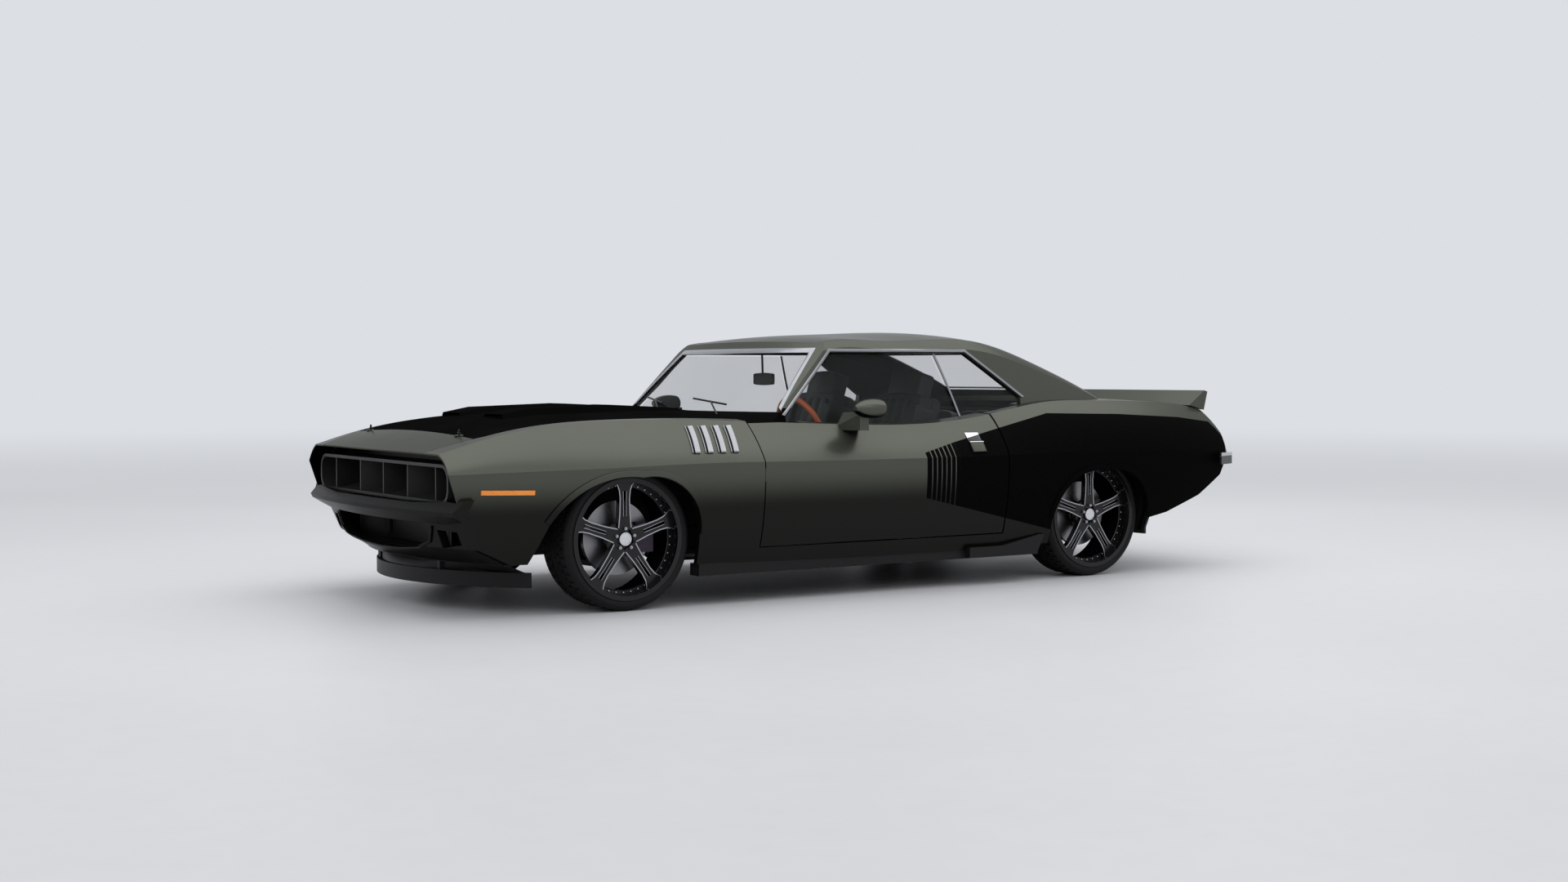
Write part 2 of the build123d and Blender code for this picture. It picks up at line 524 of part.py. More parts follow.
# Bays narrow towards the mesh: wedge posts between them and a sloping floor under each.
posts = [plan_prism(((GRILLE_FACE - 16, y - 5), (GRILLE_FACE - 16, y + 5), (GRILLE_BACK, y + wide),
                     (GRILLE_BACK, y - wide)), BAY_LOW - 4, BAY_HIGH + 4)
         for y, wide in ((-590, 10), (-280, 56), (0, 34), (280, 56), (590, 10))]
bay_floor = side_prism(((GRILLE_FACE - 30, BAY_LOW - 4), (GRILLE_BACK, BAY_LOW - 4), (GRILLE_BACK, BAY_LOW + 34)), -590, 590)
grille_bars = [block(GRILLE_BACK, GRILLE_BACK + 20, -BAY_HALF - 5, BAY_HALF + 5, z - 4, z + 4)
               for z in (548, 570, 592, 614, 636)]
grille = joined(common(inner, block(GRILLE_BACK - 20, GRILLE_BACK, -860, 860, GRILLE_LOW + 6, 690)),
                common(inner, frame_ring.part), *posts, bay_floor, *grille_bars)
LAMP_Y, LAMP_Z, LAMP_RADIUS = 668.0, 574.0, 56.0
lamp = rod((GRILLE_BACK - 10, LAMP_Y, LAMP_Z), (2186, LAMP_Y, LAMP_Z), LAMP_RADIUS)
save(less(grille, lamp, mirror(lamp, about=Plane.XZ)), "grille")
with BuildPart() as lamp_bowl:
    add(lamp)
    fillet(lamp_bowl.faces().sort_by(Axis.X)[-1].edges(), 24)
save(both_sides(lamp_bowl.part), "headlamps")

# Tail lamps hugging the rear wall, bumper on pads.
lamp_face = less(common(curtain(TAIL_TABLE, -10, 3000), both_sides(block(-2500, -2100, 240, 700, 655, 762))), tail)
save(lamp_face, "tail_lamps")
with BuildPart() as back_blade:
    with BuildSketch(Plane.XY.offset(560)):
        with BuildLine():
            ThreePointArc((-2302, -775), (-2350, 0), (-2302, 775))
            Polyline((-2302, 775), (-2270, 886), (-2130, 944), (-2130, 930), (-2250, 872), (-2276, 775))
            ThreePointArc((-2276, 775), (-2326, 0), (-2276, -775))
            Polyline((-2276, -775), (-2250, -872), (-2130, -930), (-2130, -944), (-2270, -886), (-2302, -775))
        make_face()
    extrude(amount=62)
save(joined(back_blade.part, both_sides(less(block(-2330, -2250, 400, 460, 570, 610), tail))), "rear_bumper")

# Trim on the sides: skirts under the sills, gills and markers standing a little proud.
proud = body_hull(-7, -7, 0)
skirt = less(joined(block(-900, 1100, 790, 868, 136, 192),
                    side_prism(((-430, 140), (-860, 140), (-912, 236), (-884, 240), (-640, 192), (-430, 192)), 790, 905)),
             outer, rear_arch)
save(both_sides(skirt), "side_skirts")
gills = [side_prism(((1134 - 69 * i, 693), (1154 - 69 * i, 693), (1196 - 69 * i, 812), (1176 - 69 * i, 812)), 700, 1000)
         for i in range(4)]
save(both_sides(less(common(proud, joined(*gills)), outer)), "fender_gills")
marker = side_prism(((1930, 532), (2160, 537), (2160, 557), (1930, 552)), 700, 1000)
save(both_sides(less(common(proud, marker), outer)), "side_markers")
spoiler = less(side_prism(((-1990, 830), (-2168, 957), (-2192, 950), (-2160, 830)), -776, 776), outer,
               both_sides(common(body_hull(-GAP, -GAP, 0), block(-2500, -1500, LID_HALF - 4, 1000, 700, 1000))))
save(spoiler, "ducktail_spoiler")
# Door mirrors: head sections by station, half width and half height, on a short foot.
MIRROR_TABLE = ((160, 62, 42), (200, 66, 46), (262, 52, 36), (300, 16, 12))
MIRROR_Y, MIRROR_Z = 952.0, 884.0
with BuildPart() as mirror_shell:
    for x, wide, tall in MIRROR_TABLE:
        with BuildSketch(Plane.YZ.offset(x)):
            with Locations((MIRROR_Y, MIRROR_Z)):
                Ellipse(wide, tall)
    loft()
mirror_foot = plan_prism(((190, 800), (300, 800), (262, 940), (210, 940)), 780, MIRROR_Z - 20)
mirror_head = less(joined(mirror_shell.part, common(mirror_foot, side_prism(((180, 780), (310, 780), (258, 866), (206, 866)), 700, 1000))), outer)
save(mirror_head, "mirror_left")
save(mirror(mirror_head, about=Plane.XZ), "mirror_right")

# Cabin furniture.
seat = joined(side_prism(((150, 216), (160, 430), (-230, 405), (-372, 880), (-472, 880), (-400, 216)), 150, 600),
              side_prism(((-366, 860), (-425, 1056), (-525, 1056), (-466, 860)), 235, 515))
save(seat, "seat_left")
save(mirror(seat, about=Plane.XZ), "seat_right")
bench = less(side_prism(((-640, 216), (-640, 450), (-1000, 430), (-1100, 850), (-1140, 850), (-1140, 216)), -560, 560),
             block(-1200, -600, -142, 142, 200, 394))
save(bench, "rear_seat")
COLUMN_TILT = 22.0
WHEEL_HUB = (190.0, 365.0, 760.0)
column_dir = (cos(radians(COLUMN_TILT)), 0.0, -sin(radians(COLUMN_TILT)))


def along_column(reach):
    return tuple(WHEEL_HUB[i] + column_dir[i] * reach for i in range(3))


dashboard = less(joined(block(440, 740, -740, 740, 540, 725), rod(along_column(60), along_column(420), 26)),
                 rod(along_column(20), along_column(130), 12 + PIN_PLAY))
save(dashboard, "dashboard")
with BuildPart() as steering_wheel:
    with BuildSketch(Plane(origin=WHEEL_HUB, x_dir=(0, 1, 0), z_dir=column_dir)):
        Circle(48)
    extrude(amount=52)
    with BuildSketch(Plane(origin=along_column(20), x_dir=(0, 1, 0), z_dir=column_dir)):
        Circle(12)
    extrude(amount=105)
    with Locations(Plane(origin=along_column(10), x_dir=(0, 1, 0), z_dir=column_dir)):
        Torus(180, 15)
    for angle in (0, 180, 270):
        with BuildSketch(Plane(origin=along_column(6), x_dir=(0, 1, 0), z_dir=column_dir)):
            with PolarLocations(100, 1, start_angle=angle):
                Rectangle(160, 30)
        extrude(amount=10)
save(steering_wheel.part, "steering_wheel")

# Wheels, built on the left with the axle along Y, outward positive.
SPOKE_FACE = 82.0
SPOKE_DEPTH = 30.0
half = TYRE_WIDTH / 2
tyre_edge = ((-half + 13, 259), (-half, 285), (-half, 292), (-half + 22, TYRE_RADIUS), (half - 22, TYRE_RADIUS),
             (half, 292), (half, 285), (half - 13, 259))
rim_edge = ((-half, 250), (half, 250), (half, 271), (half - 6, 271), (half - 12.2, 258.6), (-half + 12.2, 258.6),
            (-half + 6, 271), (-half, 271))


def spun(points):
    with BuildPart() as ring:
        with BuildSketch(Plane.XY):
            with BuildLine():
                Polyline(*[(radius, axial) for axial, radius in points], close=True)
            make_face()
        revolve(axis=Axis.Y)
    return ring.part


# Spoke outline: radius from the axle, half width there. Slot: the same for the gap between its two rails.
SPOKE_TABLE = ((40, 36), (48, 34), (110, 28), (180, 26), (215, 30), (238, 39), (251.5, 54))
SLOT_TABLE = ((100, 5), (212, 7))


def both_edges(table):
    return [(radius, -width) for radius, width in table] + [(radius, width) for radius, width in reversed(table)]


with BuildPart() as rim:
    add(spun(rim_edge))
    add(spun(((-44, 20 + PIN_PLAY), (-44, 60), (10, 60), (46, 78), (66, 78), (72, 40), (72, 0), (42, 0), (42, 20 + PIN_PLAY))))
    with BuildSketch(Plane.XZ.offset(-SPOKE_FACE)):
        with PolarLocations(0, 5, start_angle=90):
            Polygon(*both_edges(SPOKE_TABLE), align=None)
        with PolarLocations(0, 5, start_angle=90):
            Polygon(*both_edges(SLOT_TABLE), align=None, mode=Mode.SUBTRACT)
    extrude(amount=SPOKE_DEPTH)
rim_part = rim.part
disc_part = spun(((-22, 60.05), (-22, DISC_RADIUS), (2, DISC_RADIUS), (2, 60.05)))
tyre_part = spun(tyre_edge)
for place, x, side in (("front_left", FRONT_AXLE_X, 1), ("front_right", FRONT_AXLE_X, -1),
                       ("rear_left", REAR_AXLE_X, 1), ("rear_right", REAR_AXLE_X, -1)):
    for kind, piece in (("rim", rim_part), ("disc", disc_part), ("tyre", tyre_part)):
        turned = piece if side > 0 else mirror(piece, about=Plane.XZ)
        save(turned.moved(Location((x, side * WHEEL_Y, AXLE_Z))), kind + "_" + place)
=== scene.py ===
import cmath
import math

import bmesh
import bpy
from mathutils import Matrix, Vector


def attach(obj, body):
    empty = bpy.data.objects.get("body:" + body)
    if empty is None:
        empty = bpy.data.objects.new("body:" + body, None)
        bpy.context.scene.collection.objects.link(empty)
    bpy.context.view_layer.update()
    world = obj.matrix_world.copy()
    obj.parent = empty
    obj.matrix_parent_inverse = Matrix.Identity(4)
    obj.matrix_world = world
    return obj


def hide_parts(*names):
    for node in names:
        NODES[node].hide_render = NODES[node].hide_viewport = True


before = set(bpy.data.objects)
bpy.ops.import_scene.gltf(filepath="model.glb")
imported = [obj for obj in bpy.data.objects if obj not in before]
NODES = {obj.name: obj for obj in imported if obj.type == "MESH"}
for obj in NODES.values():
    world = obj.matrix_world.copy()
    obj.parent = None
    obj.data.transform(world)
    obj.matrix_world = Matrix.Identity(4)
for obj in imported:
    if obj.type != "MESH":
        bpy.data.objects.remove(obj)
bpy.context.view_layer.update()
scene = bpy.context.scene
scene.view_settings.view_transform = "Standard"

# Places shared with the solids, in metres.
AXLE_X = {"front": 1.452, "rear": -1.291}
WHEEL_Y = 0.737
AXLE_Z = 0.318
STEER_HUB = (0.19, 0.365, 0.76)
HANDS = (("left", 1), ("right", -1))
PLACES = [(f"{axle}_{hand}", axle, side) for axle in AXLE_X for hand, side in HANDS]

# Directions, and the planes from which flat ribbons are dropped onto the body.
ORIGIN, AHEAD, LEFT, UP, BACK, DOWN = (0, 0, 0), (1, 0, 0), (0, 1, 0), (0, 0, 1), (-1, 0, 0), (0, 0, -1)
FULL_TURN = 2 * math.pi
BESIDE_BODY, BESIDE_WINDOW = 1.1, 0.9
BEFORE_NOSE, BEFORE_SCREEN, BEHIND_TAIL = 2.6, 1.0, -2.6

# Shader maths


def level_sum(operation, swapped=False):
    """A method that feeds a socket and another value into one sum."""

    def method(self, other=0.0):
        first, second = (other, self) if swapped else (self, other)
        return self.look.node("ShaderNodeMath", {0: first, 1: second}, operation=operation)["Value"]

    return method


class Level:
    """A shader socket that takes part in sums."""

    def __init__(self, look, socket):
        self.look = look
        self.socket = socket

    __add__ = __radd__ = level_sum("ADD")
    __sub__, __rsub__ = level_sum("SUBTRACT"), level_sum("SUBTRACT", True)
    __mul__ = __rmul__ = level_sum("MULTIPLY")
    __gt__, __lt__ = level_sum("GREATER_THAN"), level_sum("LESS_THAN")
    __abs__, __mod__ = level_sum("ABSOLUTE"), level_sum("FLOORED_MODULO")
    root, sine, sign = level_sum("SQRT"), level_sum("SINE"), level_sum("SIGN")
    most, angle = level_sum("MAXIMUM"), level_sum("ARCTAN2")


class Finish:
    """The nodes of one surface finish."""

    def __init__(self, name, owner=None):
        self.material = owner or bpy.data.materials.new(name)
        self.material.use_nodes = True
        self.tree = self.material.node_tree
        self.shader = self.tree.nodes.get("Principled BSDF")
        self.place = self.node("ShaderNodeTexCoord")["Object"] if self.shader else None

    def node(self, kind, sockets=None, **settings):
        made = self.tree.nodes.new(kind)
        for key, value in settings.items():
            if key == "stops":
                ramp = made.color_ramp.elements
                while len(ramp) < len(value):
                    ramp.new(1.0)
                for step, (at, colour) in zip(ramp, value):
                    step.position = at
                    step.color = colour
            else:
                setattr(made, key, value)
        for key, value in (sockets or {}).items():
            self.feed(next(s for i, s in enumerate(made.inputs) if key in (i, s.identifier, s.name)), value)
        return {out.identifier: Level(self, out) for out in made.outputs}

    def feed(self, socket, value):
        if isinstance(value, Level):
            self.tree.links.new(value.socket, socket)
        else:
            socket.default_value = value

    def dress(self, shader=None, **sockets):
        for key, value in sockets.items():
            self.feed((shader or self.shader).inputs[key.replace("_", " ")], value)

    def layered(self, factor, over):
        """Mixes a second shader over this one."""
        mix = self.tree.nodes.new("ShaderNodeMixShader")
        self.feed(mix.inputs[0], factor)
        self.tree.links.new(self.shader.outputs[0], mix.inputs[1])
        self.tree.links.new(over, mix.inputs[2])
        self.tree.links.new(mix.outputs[0], self.tree.nodes["Material Output"].inputs["Surface"])

    def parts(self, vector):
        split = self.node("ShaderNodeSeparateXYZ", {0: vector})
        return split["X"], split["Y"], split["Z"]

    def xyz(self, shift=ORIGIN):
        return self.parts(self.node("ShaderNodeMapping", {"Vector": self.place, "Location": shift})["Vector"])

    def axle_reach(self, axle):
        """How far a point lies from the wheel's axle."""
        x, _, z = self.xyz((-AXLE_X[axle], 0.0, -AXLE_Z))
        return (x * x + z * z).root()

    def noise(self, scale, detail=4.0, rough=0.55):
        return self.node("ShaderNodeTexNoise",
                         {"Vector": self.place, "Scale": scale, "Detail": detail, "Roughness": rough})["Fac"]

    def cells(self, scale):
        return self.node("ShaderNodeTexVoronoi", {"Vector": self.place, "Scale": scale})["Distance"]

    def step(self, value, low, high):
        return self.node("ShaderNodeMapRange", {"Value": value, "From Min": low, "From Max": high},
                         interpolation_type="SMOOTHSTEP")["Result"]

    def spread(self, value, low, high):
        return self.node("ShaderNodeMapRange", {"Value": value, "To Min": low, "To Max": high})["Result"]

    def blend(self, factor, first, second):
        return self.node("ShaderNodeMix", {"Factor_Float": factor, "A_Color": first, "B_Color": second},
                         data_type="RGBA")["Result_Color"]

    def bumped(self, height, strength, distance):
        return self.node("ShaderNodeBump",
                         {"Height": height, "Strength": strength, "Distance": distance})["Normal"]

    def flakes(self):
        """The metal flakes of the body paint."""
        return self.step(self.cells(2600.0), 0.0, 0.9)

    def paint_grain(self):
        return self.bumped(self.noise(900.0, 2.0), 0.02, 0.0005)

    def polish_marks(self):
        return self.bumped(self.noise(420.0, 2.0), 0.015, 0.0004)


def tone(red, green, blue):
    """A colour as it is seen on a screen, 0 to 255, in the shader's own linear values."""
    return tuple(((c / 255 + 0.055) / 1.055) ** 2.4 if c > 10 else c / 3295 for c in (red, green, blue)) + (1.0,)


def grey(shade):
    return tone(shade, shade, shade)


# Finishes

OLIVE = (tone(88, 90, 82), tone(77, 79, 71))
OLIVE_DRIFT = tone(73, 75, 67)
# Painted shade: the darker olive that the paint fades to low on the body.
OLIVE_PAINTED_SHADE = (tone(32, 33, 29), tone(25, 26, 23))
OLIVE_EDGE = (0.4, 0.4, 0.4, 1)
OLIVE_METAL, OLIVE_COAT = 0.8, 0.06
NOSE_BAND_X = 2.105
BUMPER_CAP_Z = (0.604, 0.606)

# The black side panel in side view: x and z along its upper edge, the ends of its lower edge, its tail and its bars.
PANEL_TOP = ((-0.131, 0.667), (-0.332, 0.713), (-0.973, 0.847), (-1.443, 0.838), (-1.89, 0.816), (-2.142, 0.788))
PANEL_LOW = ((-0.131, 0.449), (-0.785, 0.298))
PANEL_TAIL_X = -2.232
PANEL_INNER_Y = 0.6
BAR_PITCH, BAR_WIDTH = 0.0287, 0.0062
BARS_FROM_X, BARS_TO_X = -0.155, -0.332


def edge_line(x, start, end):
    """The height at x of the line through two points of a side view."""
    return (x - start[0]) * ((end[1] - start[1]) / (end[0] - start[0])) + start[1]


def side_decal(look):
    """1 inside the black side panel: its outline by lines in side view, and its bars at the leading edge."""
    x, y, z = look.xyz()
    front_x, (tail_x, tail_z) = PANEL_TOP[0][0], PANEL_TOP[-1]
    top = (x < tail_x) * (x - tail_x + tail_z)
    for start, end in zip(PANEL_TOP, PANEL_TOP[1:]):
        top = top + edge_line(x, start, end) * ((x < start[0]) * (x > end[0]))
    under = edge_line(x, *PANEL_LOW)
    body = (z < top) * (z > under) * (x < front_x) * (x > PANEL_TAIL_X)
    bars = (x > BARS_TO_X) * (x < BARS_FROM_X) * ((front_x - x) % BAR_PITCH < BAR_WIDTH)
    return body * (1 - bars) * (abs(y) > PANEL_INNER_Y)


def inside_faces(look):
    """1 on faces that look into the car."""
    across, up = look.parts(look.node("ShaderNodeTexCoord")["Normal"])[1:]
    out = across * look.xyz()[1].sign()
    return (out < -0.25).most((up < -0.55) * (out < 0.5))


def cowl_corner(look):
    """1 on the strip under the windscreen, which is black like the hood."""
    x, y, z = look.xyz()
    return (x > 0.5) * (x < 0.79) * (abs(y) < 0.775) * (z > 0.7) * (z < 0.885)


def painted_body(name="olive_grey_paint", panel=True, painted_shade_heights=(0.44, 0.61)):
    """Olive metallic, with painted shade that darkens it low on the body, and the black side panel where it is asked
    for.
    """
    look = Finish(name)
    flake = look.flakes()
    drift = look.noise(3.0, 3.0)
    upper = look.blend(look.spread(drift, 0.0, 0.35), look.blend(flake, *OLIVE), OLIVE_DRIFT)
    # Painted shade: below the given heights the colour fades to the darker olive, for the shade low on the body.
    colour = look.blend(look.step(look.xyz()[2], *painted_shade_heights), look.blend(flake, *OLIVE_PAINTED_SHADE), upper)
    look.dress(Base_Color=colour, Metallic=OLIVE_METAL, Roughness=look.spread(drift, 0.25, 0.33),
               Coat_Weight=OLIVE_COAT, Coat_Roughness=0.05, Specular_Tint=OLIVE_EDGE, Normal=look.paint_grain())
    if panel:
        vinyl = look.tree.nodes.new("ShaderNodeBsdfPrincipled")
        grain = look.noise(60.0, 3.0)
        look.dress(vinyl, Roughness=look.spread(grain, 0.42, 0.5), Specular_IOR_Level=0.006,
                   Base_Color=look.blend(grain, (0.0012, 0.0012, 0.0012, 1), (0.0026, 0.0026, 0.0026, 1)))
        black = side_decal(look).most(inside_faces(look)).most(cowl_corner(look))
        look.layered(black, vinyl.outputs[0])
    return look.material


def painted_hood():
    """Black, with an olive band across the nose."""
    look = Finish("black_hood_paint")
    nose_band = look.xyz()[0] > NOSE_BAND_X
    olive = look.blend(look.flakes(), *OLIVE)
    wave = look.noise(4.0, 3.0)
    black = look.blend(wave, (0.0016, 0.0016, 0.0016, 1), (0.0034, 0.0034, 0.0032, 1))
    look.dress(Base_Color=look.blend(nose_band, black, olive), Metallic=nose_band * OLIVE_METAL,
               Roughness=look.spread(wave, 0.28, 0.36), Coat_Weight=nose_band * OLIVE_COAT, Coat_Roughness=0.05,
               Specular_IOR_Level=0.0, Specular_Tint=OLIVE_EDGE, Normal=look.paint_grain())
    return look.material


def partly_bright(name, where, dark, bright, rough):
    """Bright metal where a mask is 1, and dark satin elsewhere."""
    look = Finish(name)
    marks = look.noise(18.0, 6.0)
    mask = where(look)
    look.dress(Base_Color=look.blend(mask, look.blend(marks, *dark), bright), Metallic=mask,
               Roughness=look.spread(marks, *rough), Normal=look.polish_marks())
    return look.material


def moulded_trim(name="black_trim", shade=11, gloss=0.45):
    look = Finish(name)
    dust = look.noise(7.0, 5.0)
    look.dress(Base_Color=look.blend(dust, grey(shade), grey(shade + 8)), Specular_IOR_Level=0.2,
               Roughness=look.spread(dust, gloss - 0.06, gloss + 0.12),
               Normal=look.bumped(look.noise(1400.0, 3.0), 0.12, 0.0006))
    return look.material


def pane_glass(name, low, high):
    look = Finish(name)
    smear = look.noise(2.2, 3.0)
    look.dress(Base_Color=look.blend(smear, tone(44, 48, 48), tone(56, 60, 58)), Specular_IOR_Level=0.35,
               Roughness=look.spread(smear, 0.01, 0.03), Alpha=look.spread(smear, low, high))
    return look.material


def lamp_cover(name, deep, bright, coat=0.8):
    look = Finish(name)
    x, y = look.xyz()[:2]
    ribs = ((x + y) * 700.0).sine()
    patch = look.noise(30.0, 2.0)
    look.dress(Base_Color=look.blend(patch, tone(*deep), tone(*bright)), Coat_Weight=coat, Coat_Roughness=0.03,
               Roughness=look.spread(patch, 0.06, 0.14), Normal=look.bumped(ribs, 0.18, 0.001))
    return look.material


def bright_metal(name, shade, rough):
    look = Finish(name)
    marks = look.noise(18.0, 6.0)
    look.dress(Base_Color=look.blend(marks, tone(*shade), tone(*[c * 0.9 for c in shade])), Metallic=1.0,
               Roughness=look.spread(marks, rough, rough + 0.06), Normal=look.polish_marks())
    return look.material


def rough_metal(name, shade, worn, rough, metal=0.6):
    look = Finish(name)
    grime = look.noise(9.0, 8.0, 0.62)
    pits = look.noise(160.0, 4.0)
    look.dress(Base_Color=look.blend(look.step(grime, 0.38, 0.66), tone(*shade), tone(*worn)), Metallic=metal,
               Roughness=look.spread(grime, rough - 0.08, rough + 0.14), Normal=look.bumped(pits, 0.22, 0.001))
    return look.material


def core_metal():
    """Fins and tubes of the radiator, with painted highlights along their crests and painted shade between them."""
    look = Finish("radiator_core")
    y, z = look.xyz()[1:]
    fins, tubes = (z * 1400.0).sine(), (y * 520.0).sine()
    # Painted light and shade: colour lighter on the fin and tube crests, darker between them.
    painted_fin_light = look.step(fins * 0.6 + tubes * 0.4, -0.8, 0.9)
    look.dress(Base_Color=look.blend(painted_fin_light, tone(8, 8, 9), tone(52, 53, 55)), Metallic=0.7,
               Roughness=look.spread(painted_fin_light, 0.6, 0.4), Normal=look.bumped(fins + tubes, 0.5, 0.002))
    return look.material


def grained_leather(name, deep, bright):
    look = Finish(name)
    pores = look.cells(520.0)
    folds = look.noise(24.0, 5.0)
    look.dress(Base_Color=look.blend(folds, tone(*deep), tone(*bright)), Specular_IOR_Level=0.4,
               Roughness=look.spread(folds, 0.42, 0.62),
               Normal=look.bumped(pores * 0.7 + folds * 0.5, 0.35, 0.0012))
    return look.material


def steering_leather():
    """Tan stitched leather on the rim and black on the hub."""
    look = Finish("steering_leather")
    dx, dy, dz = [axis - middle for axis, middle in zip(look.xyz(), STEER_HUB)]
    rim = look.step((dx * dx + dy * dy + dz * dz).root(), 0.158, 0.163)
    pores = look.cells(600.0)
    stitch = (dy.angle(dz) * 156.0).sine()
    leather = look.blend(look.noise(40.0), tone(150, 66, 26), tone(178, 84, 36))
    look.dress(Base_Color=look.blend(rim, tone(22, 22, 23), leather), Roughness=look.spread(pores, 0.42, 0.56),
               Normal=look.bumped(pores + stitch * 0.12, 0.3, 0.001))
    return look.material


def wheel_finish(name, axle, shade, rough, rings, metal):
    look = Finish(name)
    turning = (look.axle_reach(axle) * rings).sine()
    cloud = look.noise(12.0, 5.0)
    look.dress(Base_Color=look.blend(cloud, tone(*shade), tone(*[c * 0.8 for c in shade])), Metallic=metal,
               Roughness=look.spread(turning * 0.3 + cloud * 0.7, rough, rough + 0.12),
               Normal=look.bumped(turning, 0.08, 0.0006))
    return look.material


def tyre_rubber(axle):
    look = Finish("tyre_rubber_" + axle)
    reach = look.axle_reach(axle)
    ribs = (reach * 1250.0).sine() * look.step(reach, 0.316, 0.306)
    cloud = look.noise(16.0, 5.0)
    look.dress(Base_Color=look.blend(cloud, tone(5, 5, 6), tone(12, 12, 13)), Specular_IOR_Level=0.22,
               Roughness=look.spread(cloud, 0.55, 0.72),
               Normal=look.bumped(ribs * 0.5 + look.noise(500.0, 2.0) * 0.4, 0.25, 0.0012))
    return look.material


PAINT = painted_body()
# The fittings take the painted shade from higher up, so the front bumper and valance are painted darker.
PAINT_PLAIN = painted_body("olive_grey_fittings", False, (0.52, 0.64))
HOOD_PAINT = painted_hood()
TRIM = moulded_trim()
TRIM_GLOSS = moulded_trim("gloss_black_trim", 9, 0.22)
CABIN_TRIM = moulded_trim("cabin_trim", 24, 0.6)
GRILLE_TRIM = moulded_trim("grille_satin", 26, 0.36)
GLASS = pane_glass("side_glass", 0.12, 0.17)
SCREEN_GLASS = pane_glass("screen_glass", 0.05, 0.08)
CHROME = bright_metal("chrome", (226, 228, 230), 0.05)
SATIN = bright_metal("satin_trim", (158, 160, 163), 0.14)
GILL_METAL = bright_metal("gill_metal", (158, 159, 162), 0.1)
SILVER = bright_metal("spoke_silver", (176, 178, 182), 0.22)
CAPPED = partly_bright("rear_bumper_metal", lambda look: look.step(look.xyz()[2], *BUMPER_CAP_Z),
                       (grey(20), tone(30, 30, 29)), tone(200, 202, 204), (0.2, 0.3))
HANDLE_PLATE = partly_bright("handle_plate", lambda look: 1 - side_decal(look),
                             (grey(8), grey(14)), tone(206, 207, 208), (0.16, 0.24))
UNDER = rough_metal("underbody", (16, 16, 16), (28, 27, 25), 0.7, 0.2)
IRON = rough_metal("cast_iron", (40, 40, 42), (62, 58, 54), 0.55)
CALIPER = rough_metal("caliper_paint", (44, 32, 48), (58, 46, 62), 0.4, 0.4)
STEEL = rough_metal("steel", (70, 71, 74), (98, 96, 92), 0.42, 0.85)
CORE = core_metal()
SEAT_LEATHER = grained_leather("seat_leather", (20, 20, 21), (34, 34, 35))
STEER_LEATHER = steering_leather()
AMBER = lamp_cover("amber_lens", (196, 104, 8), (226, 138, 20))
RED = lamp_cover("red_lens", (104, 5, 7), (142, 12, 12), 0.25)
LAMP = lamp_cover("headlamp_lens", (26, 27, 30), (56, 58, 62))

FINISH_OF = {name: material for material, names in (
    (HOOD_PAINT, "hood"), (PAINT_PLAIN, "front_valance front_bumper"), (TRIM, "cowl chin_spoiler side_skirts"),
    (SCREEN_GLASS, "windscreen rear_glass"), (GLASS, "door_glass_left door_glass_right quarter_glass"),
    (UNDER, "floor_pan front_frame trunk_floor fuel_tank tow_eyes"), (IRON, "engine_block front_suspension rear_axle"),
    (CALIPER, "knuckle_left knuckle_right"), (STEEL, "exhaust"), (CORE, "radiator"), (GRILLE_TRIM, "grille"),
    (LAMP, "headlamps"), (RED, "tail_lamps"), (AMBER, "side_markers"), (CAPPED, "rear_bumper"),
    (CHROME, "fender_gills"), (SEAT_LEATHER, "seat_left seat_right rear_seat"), (CABIN_TRIM, "dashboard"),
    (STEER_LEATHER, "steering_wheel")) for name in names.split()}
for place, axle, side in PLACES:
    FINISH_OF["rim_" + place] = wheel_finish("gloss_black_rim_" + place, axle, (15, 15, 16), 0.2, 900.0, 0.3)
    FINISH_OF["disc_" + place] = wheel_finish("turned_disc_" + place, axle, (150, 150, 152), 0.24, 3600.0, 1.0)
    FINISH_OF["tyre_" + place] = tyre_rubber(axle)
for name, node in NODES.items():
    node.data.materials.clear()
    node.data.materials.append(FINISH_OF.get(name, PAINT))

# Modelling


def none_taken():
    bpy.ops.object.select_all(action="DESELECT")


def taken(piece):
    none_taken()
    piece.select_set(True)
    bpy.context.view_layer.objects.active = piece


def shaping(piece, kind="FACE"):
    taken(piece)
    bpy.ops.object.mode_set(mode="EDIT")
    bpy.ops.mesh.select_mode(type=kind)
    bpy.ops.mesh.select_all(action="SELECT")


def shaped():
    bpy.ops.object.mode_set(mode="OBJECT")


def pick(test, kind="FACE"):
    """In edit mode, selects only the faces, edges or corners that pass the test."""
    bpy.ops.mesh.select_mode(type=kind)
    bpy.ops.mesh.select_all(action="DESELECT")
    mesh = bmesh.from_edit_mesh(bpy.context.object.data)
    for item in {"FACE": mesh.faces, "EDGE": mesh.edges, "VERT": mesh.verts}[kind]:
        item.select_set(bool(test(item)))
    bmesh.update_edit_mesh(bpy.context.object.data)


def pulled(*shift):
    """In edit mode, extrudes the picked faces."""
    bpy.ops.mesh.extrude_region_move(TRANSFORM_OT_translate={"value": shift})


def begun(name):
    """Names the primitive that was just added and puts its place into its mesh."""
    piece = bpy.context.object
    piece.name = name
    bpy.ops.object.transform_apply()
    return piece


def box(name, low, high):
    none_taken()
    middle = [(a + b) / 2 for a, b in zip(low, high)]
    bpy.ops.mesh.primitive_cube_add(size=1.0, location=middle, scale=[b - a for a, b in zip(low, high)])
    return begun(name)


